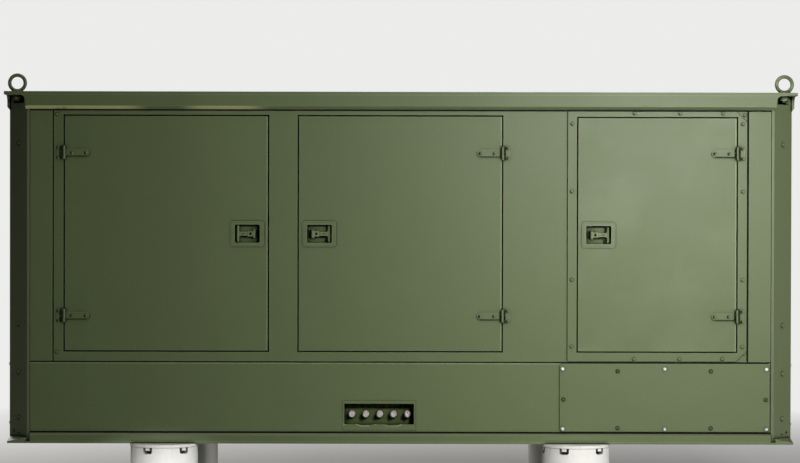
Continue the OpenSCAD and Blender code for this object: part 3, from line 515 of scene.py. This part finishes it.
def board_paint():
    """The board behind the studs: greener, with painted shadows along the top, at the right end and under the
    studs.
    """
    lo, hi, pitch = stud_row()
    board_lo, board_hi = corners(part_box("terminal_board"))
    dark = [((board_lo.x - 0.1, lo.y, hi.z + 7 * MM), (board_hi.x + 0.1, 0, board_hi.z)),
            ((hi.x - 4 * MM, lo.y, board_lo.z), (board_hi.x + 0.1, 0, board_hi.z))]
    for i in range(STUDS):
        x = lo.x + STUD_R + i * pitch
        dark.append(((x - 21 * MM, lo.y, lo.z - 8 * MM), (x + 6 * MM, 0, lo.z + 15 * MM)))
    color = tuple(k * c for k, c in zip((0.60, 0.66, 0.42), OLIVE))
    return paint("board_paint", color, 0.6, worn=OLIVE, shadow_boxes=dark, depth=(0.1, 0.3))


def node_materials():
    """The finishes of nodes that have one of their own."""
    # The lower panel's top edge gets a pale painted highlight
    top_edge = (-2, -1, lower_hi.z - 6 * MM), (2, 0, lower_hi.z + MM)
    finishes = {
        "lower_front_panel": paint("panel_paint", OLIVE, 0.48, bare=recess_edges(), highlight_boxes=[top_edge]),
        "terminal_board": board_paint(),
        "hinge_leaves": hinge_paint("leaf_paint", [box for i in DOORS for box in hinge_boxes(i)]),
        "door_3": paint("door_3_paint", OLIVE, 0.48, unshaded_spans=unshaded_places(), highlight_boxes=lit_edges(), mottle=0.16),
        "corner_posts": paint("post_paint", POST_OLIVE, 0.48),
        "lifting_eyes": paint("eye_paint", OLIVE, 0.40, edge_wear_and_highlight=0.8, bare=eye_feet()),
    }
    for i in DOORS:
        finishes[f"door_{i}_straps"] = hinge_paint(f"hinge_paint_{i}", hinge_boxes(i))
        finishes[f"latch_pan_{i}"] = pan_paint(i)
        finishes[f"handle_{i}"] = grip_paint(i)
    return finishes


MATERIALS = {
    "olive_paint": paint("olive_paint", OLIVE, 0.48, unshaded_spans=unshaded_places(), highlight_boxes=lit_edges(),
                         shadow_boxes=frame_gaps()),
    "machine_paint": paint("machine_paint", MACHINE, 0.4, worn=MACHINE_WORN_AND_LIT, dust=0.35),
    "stand_paint": white_paint(),
    "stud_metal": cap_metal(),
    "galvanised": zinc_plate(),
    "radiator_black": radiator_black(),
    "seal_rubber": rubber(),
}
NODE_MATERIALS = node_materials()
# The heads: a lighter olive as a painted highlight, with painted shade on their lower left
HEAD_PAINT = paint("head_paint", scaled(OLIVE, 1.1), 0.45, edge_wear_and_highlight=0.8, underside=0.9)

# How far the nodes' sharp edges are rounded, in mm
PLAIN_BEVEL = 0.8
BEVELS = {
    "stands": 1.5, "engine": 2.5, "alternator": 2.5, "control_cabinet": 2.5, "lifting_eyes": 1.0,
    "roof_plate": 1.6, "top_rails": 1.6, "bottom_rails": 1.6, "door_1": 2.4, "door_2": 2.4, "door_3": 2.4,
    "front_panel": 1.3, "lower_front_panel": 1.3, "door_frame": 1.3, "cover_plate": 1.3, "front_strips": 1.3,
    "back_panel": 1.4, "lower_back_panel": 1.3, "back_doors": 1.3, "back_strips": 1.3,
}


def dress_nodes():
    """Gives each CAD node its finish, and rounds its sharp edges a little."""
    for name, node in frame["nodes"].items():
        node.data.materials.clear()
        node.data.materials.append(NODE_MATERIALS.get(name) or MATERIALS[SLOTS[name]])
        if SLOTS[name] != "seal_rubber":
            bevel = node.modifiers.new("soft edges", "BEVEL")
            bevel.width = BEVELS.get(name, PLAIN_BEVEL) * MM
            bevel.segments = 2
            bevel.limit_method = "ANGLE"
            bevel.angle_limit = math.radians(25)
            bevel.harden_normals = False
        node.modifiers.new("even shading", "WEIGHTED_NORMAL").keep_sharp = True


# ---------------------------------------------------------------- shapes

def ring_faces(rings, sides, closed=False):
    """The quads between rings of vertices, and back to the first ring if closed."""
    faces = []
    for ring in range(rings if closed else rings - 1):
        a, b = ring * sides, (ring + 1) % rings * sides
        faces += [(a + k, a + (k + 1) % sides, b + (k + 1) % sides, b + k) for k in range(sides)]
    return faces


def end_faces(rings, sides):
    """The two faces that close a stack of rings."""
    last = (rings - 1) * sides
    return [tuple(last + k for k in range(sides)), tuple(reversed(range(sides)))]


def lathe(profile, sides=20):
    """A turned shape on the axis -Y: the profile is a list of (radius, distance out) pairs in mm."""
    turns = [math.tau * i / sides for i in range(sides)]
    verts = [(r * MM * math.cos(a), -out * MM, r * MM * math.sin(a)) for r, out in profile for a in turns]
    return verts, ring_faces(len(profile), sides) + end_faces(len(profile), sides)


def joined(*shapes):
    """Several shapes as one."""
    verts, faces = [], []
    for shape_verts, shape_faces in shapes:
        start = len(verts)
        verts += shape_verts
        faces += [tuple(start + i for i in face) for face in shape_faces]
    return verts, faces


def moved(shape, matrix):
    """A shape put somewhere else."""
    return [tuple(matrix @ Vector(v)) for v in shape[0]], shape[1]


def copied(shape, matrices):
    """One shape at several places."""
    return joined(*[moved(shape, matrix) for matrix in matrices])


def looking(point, direction):
    """Places a shape made on the axis -Y so that it looks along a horizontal direction."""
    angle = math.atan2(direction[1], direction[0]) + math.pi / 2
    return Matrix.Translation(Vector(point)) @ Matrix.Rotation(angle, 4, "Z")


def upright(point, turn=-math.pi / 2):
    """Places a shape made on the axis -Y so that it points up, or down with the opposite turn."""
    return Matrix.Translation(Vector(point)) @ Matrix.Rotation(turn, 4, "X")


def dome_head(r, h):
    """A round head."""
    return lathe([(r * math.cos(a), h * math.sin(a)) for a in (0, 0.35, 0.7, 1.0, 1.3)])


def hex_head(across, h, washer):
    """A hexagon head with a turned chamfer, on a washer."""
    r = across / math.sqrt(3)
    head = lathe([(r, 1.6), (r, 1.6 + h * 0.8), (r * 0.86, 1.6 + h)], 6)
    return joined(lathe([(washer, 0), (washer, 1.2), (washer - 0.5, 1.6)]), head)


def quarter_turn(r):
    """A quarter-turn stud: a domed head with a slot across it, in a raised ring."""
    ring = lathe([(r, 0), (r, 1.6), (r - 1.0, 2.2), (r - 2.0, 1.6), (r - 2.0, 0.1)])
    turns = [math.pi * (i + 0.9) / 10 for i in range(9)]
    half = [((r - 2.6) * math.cos(a) * MM, max((r - 2.6) * math.sin(a), 0.9) * MM) for a in turns]
    low, high = [(x, 0.0, z) for x, z in half], [(x * 0.9, -2.6 * MM, z * 0.94) for x, z in half]
    jaw = low + high, end_faces(2, len(half)) + ring_faces(2, len(half))
    return joined(ring, *[moved(jaw, Matrix.Rotation(turn, 4, "Y")) for turn in (0, math.pi)])


def grommet(r):
    """The flat rubber washer that shows round a quarter-turn stud."""
    return lathe([(r + 1.6, 0), (r + 1.6, 0.6), (r - 2.2, 0.6), (r - 2.2, 0.3)])


def weld_ring(r, thick, seed):
    """A rippled weld bead round a turned foot, made on the axis -Y."""
    rng = random.Random(seed)
    around, section = 48, 6
    verts = []
    for i in range(around):
        a = math.tau * i / around
        size = thick * (1 + 0.18 * math.sin(i * 2.1) + rng.uniform(-0.12, 0.12))
        for k in range(section):
            b = math.tau * k / section
            reach = r + size * math.cos(b)
            verts.append((reach * MM * math.cos(a), -size * math.sin(b) * MM, reach * MM * math.sin(a)))
    return verts, ring_faces(around, section, closed=True)


def tube(points, r, sides=12, caps=True):
    """A round tube along a list of points in metres; r is one radius in mm, or one for each point."""
    path = [Vector(p) for p in points]
    radii = r if isinstance(r, list) else [r] * len(path)
    verts, side = [], None
    for i, p in enumerate(path):
        along = (path[min(i + 1, len(path) - 1)] - path[max(i - 1, 0)]).normalized()
        side = along.orthogonal() if side is None else side - along * side.dot(along)
        side.normalize()
        up = along.cross(side)
        for k in range(sides):
            a = math.tau * k / sides
            verts.append(tuple(p + (side * math.cos(a) + up * math.sin(a)) * radii[i] * MM))
    return verts, ring_faces(len(path), sides) + (end_faces(len(path), sides) if caps else [])


def curve_points(knots, steps=10):
    """A smooth path through a few points, by Catmull-Rom."""
    p = [Vector(c) for c in knots]
    p = [p[0] * 2 - p[1]] + p + [p[-1] * 2 - p[-2]]
    out = []
    for a, b, c, d in zip(p, p[1:], p[2:], p[3:]):
        for s in range(steps):
            u = s / steps
            out.append(0.5 * (2 * b + (c - a) * u + (2 * a - 5 * b + 4 * c - d) * u ** 2
                              + (3 * b - a - 3 * c + d) * u ** 3))
    return out + [p[-2]]


def rect_loop(x0, x1, z0, z1, section, y):
    """Sweeps a section of (inward, depth) points in mm round a rectangle, with mitred corners."""
    verts = []
    for cx, cz, sx, sz in ((x0, z0, 1, 1), (x1, z0, -1, 1), (x1, z1, -1, -1), (x0, z1, 1, -1)):
        verts += [(cx + sx * a * MM, y + d * MM, cz + sz * a * MM) for a, d in section]
    return verts, ring_faces(4, len(section), closed=True)


def bar(section, length):
    """A straight bar along X with a section of (height, depth) points in mm."""
    verts = [(x, d * MM, h * MM) for x in (0, length) for h, d in section]
    return verts, end_faces(2, len(section)) + ring_faces(2, len(section))


def piece(name, shape, body, slot, material=None):
    """Makes one mesh object that rides on a body and takes its finish from a slot."""
    mesh = bpy.data.meshes.new(name)
    mesh.from_pydata(shape[0], [], shape[1])
    work = bmesh.new()
    work.from_mesh(mesh)
    bmesh.ops.recalc_face_normals(work, faces=work.faces)
    work.to_mesh(mesh)
    work.free()
    mesh.validate()
    made = bpy.data.objects.new(name, mesh)
    bpy.context.collection.objects.link(made)
    mesh.materials.append(material or MATERIALS[slot])
    mesh.shade_smooth()
    mesh.set_sharp_from_angle(angle=math.radians(35))
    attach(made, body)


def fasteners(name, shape, places, body, slot, seed, material=None):
    """Copies a fastener to (point, direction) places, each turned at random on its own axis."""
    rng = random.Random(seed)
    spun = [looking(point, way) @ Matrix.Rotation(rng.uniform(0, math.tau), 4, "Y") for point, way in places]
    piece(name, copied(shape, spun), body, slot, material)


# ---------------------------------------------------------------- fasteners

def post_bolts():
    """Round painted heads up the chamfer of each corner post, and a small plug near its foot."""
    places = []
    for sx, sy in CORNER_WAYS:
        x, y = sx * (wall_x - CHAMFER / 2), sy * (-face_y - CHAMFER / 2)
        places += [((x, y, base_z + h * MM), (sx, sy)) for h in (104, 293, 494, 1250)]
    fasteners("post_bolts", dome_head(9.5, 6.0), places, "enclosure", "olive_paint", 2, HEAD_PAINT)
    low = [((sx * (wall_x - 0.25 * CHAMFER), sy * (-face_y - 0.75 * CHAMFER), base_z + 46 * MM), (sx, sy))
           for sx, sy in CORNER_WAYS]
    fasteners("post_plugs", lathe([(5.0, 0), (5.0, 0.6), (3.5, 0.9)]), low, "enclosure", "seal_rubber", 2)


def cover_fasteners():
    """Bright bolts at the cover's corners and middle, and quarter-turn fasteners between them."""
    x0, y, z0 = cover_lo
    x1, _, z1 = cover_hi
    bolts = grid((x0 + 11 * MM, (x0 + x1) / 2, x1 - 12 * MM), y, (z0 + 10 * MM, z1 - 22 * MM))
    fasteners("cover_bolts", hex_head(10, 4.5, 7.5), bolts, "enclosure", "galvanised", 3)
    turns = grid([x0 + t * (x1 - x0) for t in (0.275, 0.72)], y, (z0 + 14 * MM, z1 - 31 * MM))
    turns += grid((x0 + 14 * MM, x1 - 15 * MM), y, [(z0 + z1) / 2 - 8 * MM])
    fasteners("cover_turns", quarter_turn(5.6), turns, "enclosure", "olive_paint", 4, HEAD_PAINT)
    fasteners("cover_grommets", grommet(7), turns, "enclosure", "seal_rubber", 4)


def frame_rivets():
    """Round heads round the raised frame of the third door."""
    x0, y, z0 = frame_lo
    x1, _, z1 = frame_hi
    heights = [z1 - 51 * MM, z1 - 332 * MM, z1 - 700 * MM, z0 + 60 * MM]
    row = [x0 + t * (x1 - x0) for t in (0.37, 0.625, 0.865)]
    places = grid((x0 + 16 * MM, x1 - 17 * MM), y, heights)
    places += grid(row, y, [z0 + 9 * MM]) + grid(row, y, [z1 - 7 * MM])
    fasteners("frame_rivets", dome_head(7.0, 4.2), places, "enclosure", "olive_paint", 5, HEAD_PAINT)


def panel_rivets():
    """Round heads at the corners of the upper panels, front and back."""
    places = []
    for side in (-1, 1):
        xs = [sx * (panel_hi.x - 12 * MM) for sx in (-1, 1)]
        places += grid(xs, side * -face_y, (panel_lo.z + 36 * MM, panel_hi.z - 14 * MM), (0, side))
    fasteners("panel_rivets", dome_head(7.0, 4.0), places, "enclosure", "olive_paint", 6, HEAD_PAINT)


def end_bolts():
    """Bright bolts at the corners of the lower panels on both ends."""
    ys = (end_lo.y + 11 * MM, end_hi.y - 11 * MM)
    zs = (end_lo.z + 27 * MM, end_hi.z - 12 * MM)
    places = [((sx * wall_x, y, z), (sx, 0)) for sx in (-1, 1) for y in ys for z in zs]
    fasteners("end_bolts", hex_head(10, 4.5, 7.5), places, "enclosure", "galvanised", 7)


def hinge_bolts():
    """Two heads on each strap, and two on each leaf, front and back."""
    leaves = []
    for i in DOORS:
        axis_x, _, way, zs = hinge_places(i)
        strap_xs = [axis_x + way * x for x in STRAP_BOLTS]
        leaf_x = axis_x - way * LEAF_BOLT[0]
        leaf_zs = [z + dz for z in zs for dz in (-LEAF_BOLT[1], LEAF_BOLT[1])]
        front_y, back_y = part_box(f"door_{i}")[0][1] - PLATE, -face_y + PLATE
        fasteners(f"door_{i}_strap_bolts", dome_head(6.0, 3.4), grid(strap_xs, front_y, zs), f"door_{i}",
                  "olive_paint", 10 + i, NODE_MATERIALS[f"door_{i}_straps"])
        leaves += grid([leaf_x], front_y, leaf_zs)
        back = grid([-x for x in strap_xs], back_y, zs, BACK) + grid([-leaf_x], back_y, leaf_zs, BACK)
        fasteners(f"back_hinge_bolts_{i}", dome_head(5.5, 3.2), back, "enclosure", "olive_paint", 20 + i)
    fasteners("leaf_bolts", dome_head(6.2, 4.2), leaves, "enclosure", "olive_paint", 14,
              NODE_MATERIALS["hinge_leaves"])


def eye_collars():
    """A turned collar and its weld under each lifting eye."""
    collar = lathe([(20, 0), (20, 3.5), (18.5, 5.5), (11, 7.0), (10, 6.0)], 28)
    shapes = []
    for seed, corner in enumerate(EYES):
        lo, hi = opening(f"lifting_eye_{corner}")
        foot = upright(((lo.x + hi.x) / 2, (lo.y + hi.y) / 2, roof_z))
        shapes += [moved(collar, foot), moved(weld_ring(20.5, 2.6, seed), foot)]
    piece("eye_collars", joined(*shapes), "enclosure", "olive_paint", NODE_MATERIALS["lifting_eyes"])


def key_plugs():
    """The lock plug with its key slot in each handle, made black to stand for the shade in the keyhole."""
    plug = lathe([(3.9, -3), (3.9, 0.1), (5.0, 0.1), (4.8, 0.7), (1.6, 0.9), (1.4, -0.6)])
    for i in DOORS:
        lo, _ = corners(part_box(f"handle_{i}"))
        x, _, z, way = latch_place(i)
        place = Matrix.Translation((x + way * 15 * MM, lo.y + 0.1 * MM, z))
        piece(f"key_plug_{i}", moved(plug, place), f"handle_{i}", "seal_rubber")


# ---------------------------------------------------------------- behind the doors

def back_door_seals():
    """Rubber bulbs behind the gaps of the closed doors at the back."""
    bulb = [(-11, -0.4), (5, -0.4), (5, -3.0), (2.5, -6.5), (-3, -7.5), (-8.5, -6.5), (-11, -3.0)]
    loops = []
    for i in DOORS:
        lo, hi = corners(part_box(f"door_{i}"))
        loops.append(rect_loop(-hi.x, -lo.x, lo.z, hi.z, bulb, -face_y - 3 * MM))
    piece("back_door_seals", joined(*loops), "enclosure", "seal_rubber")


def lining_screws():
    """Pan heads round the lining on the inside of each front door."""
    inset, pitch = 30 * MM, 0.15
    for i in DOORS:
        lo, hi = corners(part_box(f"door_{i}"))
        xs = spaced(lo.x + inset, hi.x - inset, pitch)
        zs = spaced(lo.z + inset, hi.z - inset, pitch)
        places = grid(xs, hi.y, (zs[0], zs[-1]), BACK) + grid((xs[0], xs[-1]), hi.y, zs[1:-1], BACK)
        fasteners(f"lining_screws_{i}", dome_head(5.0, 2.6), places, f"door_{i}", "galvanised", 30 + i)


def engine_bolts():
    """Two pairs of bolts on each rocker cover, and two rows along the block."""
    lo, hi = corners(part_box("engine"))
    cylinders, row, cover, block_y = 6, 0.840, 0.130, -0.144
    middles = [hi.x - row + cover * (i + 0.5) for i in range(cylinders)]
    places = [upright((x + dx, y, hi.z)) for x in middles for dx in (-0.034, 0.034) for y in (-0.05, 0.05)]
    piece("rocker_bolts", copied(hex_head(17, 9, 13), places), "enclosure", "galvanised")
    side = grid(spaced(lo.x + 0.12, hi.x - 0.13, 0.09), block_y, (hi.z - 0.315, hi.z - 0.435))
    fasteners("block_bolts", hex_head(15, 8, 11), side, "enclosure", "machine_paint", 41)


def coolant_pipes():
    """Two bent pipes from the radiator to the engine, with a sleeve and two clips at each end."""
    _, radiator_hi = corners(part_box("radiator"))
    upper = [(-0.002, -0.10, 1.520), (0.05, -0.10, 1.522), (0.105, -0.095, 1.46), (0.135, -0.09, 1.30),
             (0.175, -0.08, 1.16), (0.215, -0.08, 1.075), (0.22, -0.08, 1.05)]
    lower = [(-0.002, -0.16, 0.462), (0.06, -0.16, 0.462), (0.11, -0.15, 0.50), (0.13, -0.13, 0.56),
             (0.17, -0.12, 0.60), (0.215, -0.12, 0.60)]
    pipes = [(curve_points([(radiator_hi.x + x, y, z) for x, y, z in knots]), r)
             for knots, r in ((upper, 24), (lower, 26))]
    piece("coolant_pipes", joined(*[tube(path, r) for path, r in pipes]), "enclosure", "machine_paint")
    ends = [(path[:9], r) for path, r in pipes] + [(path[-9:], r) for path, r in pipes]
    piece("pipe_sleeves", joined(*[tube(path, r + 4) for path, r in ends]), "enclosure", "seal_rubber")
    clips = [tube([path[k], path[k] * 0.4 + path[k + 1] * 0.6], r + 5.5, 24)
             for path, r in ends for k in (1, 6)]
    piece("sleeve_clips", joined(*clips), "enclosure", "galvanised")


def fan_guard():
    """A guard of wire rings and spokes between the radiator and the fan, on four stays."""
    lo, _ = corners(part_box("engine"))
    x, axis_z, inner, outer = lo.x - 0.024, 0.848, 0.058, 0.243
    turns = [math.tau * i / 48 for i in range(49)]
    parts = []
    for r in range(60, 241, 30):
        ring = [(x, r * MM * math.cos(a), axis_z + r * MM * math.sin(a)) for a in turns]
        parts.append(tube(ring, 2.2, 6, caps=False))
    hub = Vector((x - 0.004, 0, axis_z))
    for i in range(8):
        a = math.tau * (i + 0.5) / 8
        way = Vector((0, math.cos(a), math.sin(a)))
        parts.append(tube([hub + way * inner, hub + way * outer], 2.6, 6))
    for y in (-0.17, 0.17):
        parts += [tube([(x - 0.028, y, axis_z + z), (x, y, axis_z + z)], 4, 8) for z in (-0.17, 0.17)]
    piece("fan_guard", joined(*parts), "enclosure", "galvanised")


def oil_filter():
    """A spin-on oil filter that hangs from a head on the block's side."""
    x, y, z = -0.70, -0.192, 0.700
    can = lathe([(30, 0), (38, 12), (47, 14), (49, 20), (48, 128), (42, 142), (20, 150), (8, 151)], 28)
    piece("oil_filter", moved(can, upright((x, y, z), math.pi / 2)), "enclosure", "radiator_black")
    head = lathe([(52, -2), (52, 16), (46, 22), (14, 24)], 28)
    arm = tube([(x, y, z + 0.012), (x, y + 0.05, z + 0.012)], 30, 20)
    piece("filter_head", joined(moved(head, upright((x, y, z))), arm), "enclosure", "machine_paint")


def alternator_details():
    """Bolts on the connection box, a rim under its lid, and cable glands."""
    lo, hi = corners(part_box("alternator"))
    box_y = -0.150
    lid = [upright((x, y, hi.z)) for x in (lo.x + 0.165, hi.x - 0.155) for y in (-0.135, 0.135)]
    piece("alternator_lid_bolts", copied(hex_head(10, 5, 8), lid), "enclosure", "galvanised")
    section = [(-1, 0.2), (4, 0.2), (4, -1.6), (2, -2.4), (-1, -1.6)]
    rim = rect_loop(lo.x + 0.148, hi.x - 0.138, hi.z - 0.09, hi.z - 0.012, section, box_y)
    piece("alternator_lid_rim", rim, "enclosure", "machine_paint")
    glands = []
    for x in (lo.x + 0.22, lo.x + 0.29, lo.x + 0.36):
        path = [(x, box_y - out, hi.z - 0.12) for out in (0, 0.012, 0.013, 0.028)]
        glands.append(tube(path, [17, 17, 13, 12], 20))
    piece("cable_glands", joined(*glands), "enclosure", "radiator_black")


def cabinet_gauges():
    """Three blank gauges at the top of the control cabinet's door."""
    lo, hi = corners(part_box("control_cabinet"))
    places = [Matrix.Translation((lo.x + x, lo.y, hi.z - 0.11)) for x in (0.36, 0.48, 0.60)]
    bezel = lathe([(44, 0), (44, 8), (41, 11), (37, 11), (36, 3)], 40)
    dial = lathe([(36, 2), (36, 5.2), (3, 5.3), (2.6, 6.4)], 40)
    needle = tube([(0.0, -6.4 * MM, -0.006), (0.018, -6.4 * MM, 0.022)], [1.6, 0.7], 8)
    piece("gauge_bezels", copied(bezel, places), "enclosure", "radiator_black")
    piece("gauge_dials", copied(dial, places), "enclosure", "stand_paint")
    piece("gauge_needles", copied(needle, places), "enclosure", "radiator_black")


def cabinet_controls():
    """Buttons, a turn switch, louvres and screws on the control cabinet's door."""
    lo, hi = corners(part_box("control_cabinet"))
    row_z = hi.z - 0.205
    button = lathe([(15, 0), (15, 4), (13, 6), (10.5, 6), (10.5, 11), (9.5, 12.5)], 28)
    row = [Matrix.Translation((lo.x + x, lo.y, row_z)) for x in (0.33, 0.40, 0.47, 0.54)]
    piece("cabinet_buttons", copied(button, row), "enclosure", "radiator_black")
    knob = lathe([(22, 0), (22, 5), (20, 7), (14, 7), (13, 18), (11, 20)], 28)
    grip = tube([(-0.019, -22 * MM, 0), (0.019, -22 * MM, 0)], [3, 4], 8)
    switch = moved(joined(knob, grip), Matrix.Translation((lo.x + 0.64, lo.y, row_z)))
    piece("cabinet_switch", switch, "enclosure", "radiator_black")
    blade = bar([(0, 0.2), (0, -3), (5, -9), (9, -9.5), (9, -7), (6, 0.2)], 0.20)
    louvres = [Matrix.Translation((lo.x + 0.71, lo.y, hi.z - 0.17 + k * 0.022)) for k in range(5)]
    piece("cabinet_louvres", copied(blade, louvres), "enclosure", "machine_paint")
    screws = grid((lo.x + 0.05, hi.x - 0.05), lo.y, (lo.z + 0.13, hi.z - 0.05))
    fasteners("cabinet_screws", dome_head(7, 3.5), screws, "enclosure", "galvanised", 44)


# ---------------------------------------------------------------- stage, light and camera

def add_floor():
    """A pale floor that turns into the white background some way behind the object."""
    size, fade_start, fade_end = 60, 2.2, 7.0
    mesh = bpy.data.meshes.new("floor")
    verts = [(-size, -size, 0), (size, -size, 0), (size, size, 0), (-size, size, 0)]
    mesh.from_pydata(verts, [], [(0, 1, 2, 3)])
    floor = bpy.data.objects.new("floor", mesh)
    bpy.context.collection.objects.link(floor)
    s = Surface("floor", FLOOR, 0.8)
    away = s.node("ShaderNodeVectorMath", {0: s.coords}, operation="LENGTH").outputs["Value"]
    seen = s.node("ShaderNodeLightPath").outputs["Is Camera Ray"]
    fade = s.times(s.remap(away, fade_start, fade_end), seen)
    glow = s.node("ShaderNodeEmission", {"Color": (*BACKDROP, 1)})
    both = s.node("ShaderNodeMixShader", {0: fade, 1: s.shader.outputs[0], 2: glow.outputs[0]})
    s.tree.links.new(both.outputs[0], s.tree.nodes["Material Output"].inputs["Surface"])
    mesh.materials.append(s.mat)


def add_world():
    """A low even light, behind which the camera sees the white background."""
    world = bpy.data.worlds.new("world")
    world.use_nodes = True
    tree = world.node_tree
    background = tree.nodes["Background"]
    background.inputs["Strength"].default_value = 1.0
    path = tree.nodes.new("ShaderNodeLightPath")
    mix = tree.nodes.new("ShaderNodeMix")
    mix.data_type = "RGBA"
    mix.inputs[6].default_value = (*AMBIENT, 1)
    mix.inputs[7].default_value = (*BACKDROP, 1)
    tree.links.new(path.outputs["Is Camera Ray"], mix.inputs[0])
    tree.links.new(mix.outputs[2], background.inputs["Color"])
    bpy.context.scene.world = world


def add_light(name, kind, location, target, power, **settings):
    """A lamp that looks at a target."""
    lamp = bpy.data.lights.new(name, kind)
    lamp.energy = power
    for key, value in settings.items():
        setattr(lamp, key, value)
    made = bpy.data.objects.new(name, lamp)
    made.location = location
    made.rotation_euler = (Vector(target) - Vector(location)).to_track_quat("-Z", "Y").to_euler()
    bpy.context.collection.objects.link(made)
    return made


def add_stand_lights():
    """A low flat beam on each of the two white stands in front."""
    stand_r = 0.14
    xs = (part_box("stands")[0][0] + stand_r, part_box("stands")[1][0] - stand_r)
    for x, power in zip(xs, (190, 60)):
        start, target = (x + 0.25, face_y - 3.0, 0.12), (x, face_y - 0.1, 0.10)
        beam = add_light(f"stand_{x:.1f}", "SPOT", start, target, power,
                         spot_size=math.radians(8.2), spot_blend=0.2, shadow_soft_size=0.08)
        beam.scale = (1.7, 1.0, 1.0)


def add_lip_light():
    """A warm strip close under the front, which lights the roof's lip at the left from below."""
    x, y, z = -1.1, face_y - 0.055, 0.12
    strip = add_light("lip", "AREA", (x, y, z), (x, y, 1.0), 0.2, shape="RECTANGLE", size=1.0, size_y=0.04,
                      spread=math.radians(5), color=(1.0, 0.78, 0.5))
    strip.rotation_euler = (math.radians(180 - 1.2), 0, 0)


def add_lights():
    """A key light on the right, soft fills, and the small lamps of the photo's own light."""
    add_light("key", "AREA", (1.5, -4.4, 2.25), (1.1, -0.6, 1.2), 29.5,
              size=0.4, color=(1.0, 0.985, 0.96), spread=math.radians(88))
    add_light("fill", "AREA", (5.2, -4.6, 1.5), (1.4, -0.6, 1.0), 26,
              size=1.6, color=(0.97, 0.985, 1.0), spread=math.radians(100))
    add_light("top", "AREA", (-0.4, -0.5, 5.2), (0.0, 0.0, 1.0), 80, size=3.0, color=(0.98, 0.99, 1.0))
    add_light("rear", "AREA", (-3.5, 4.8, 3.2), (0.0, 0.5, 0.9), 130, size=2.5)
    add_stand_lights()
    add_lip_light()


def add_camera():
    """Looks level at the front, with the picture shifted up to the object's middle."""
    distance = 10.0
    view_width = 3.330
    height = 0.78
    middle_x, middle_z = -0.0022, 0.884
    tilt, roll = math.radians(-0.6), math.radians(-0.13)
    data = bpy.data.cameras.new("camera")
    data.sensor_width = 36.0
    data.lens = data.sensor_width * distance / view_width
    data.shift_y = (middle_z - height) / view_width - distance / view_width * math.tan(tilt)
    data.clip_end = 200
    camera = bpy.data.objects.new("camera", data)
    bpy.context.collection.objects.link(camera)
    camera.location = (middle_x, face_y - distance, base_z + height)
    camera.rotation_euler = (math.pi / 2 + tilt, roll, 0)
    bpy.context.scene.camera = camera


dress_nodes()
post_bolts()
cover_fasteners()
frame_rivets()
panel_rivets()
end_bolts()
hinge_bolts()
eye_collars()
key_plugs()
back_door_seals()
lining_screws()
engine_bolts()
coolant_pipes()
fan_guard()
oil_filter()
alternator_details()
cabinet_gauges()
cabinet_controls()

add_floor()
add_world()
add_lights()
add_camera()
bpy.context.scene.view_settings.view_transform = "Standard"
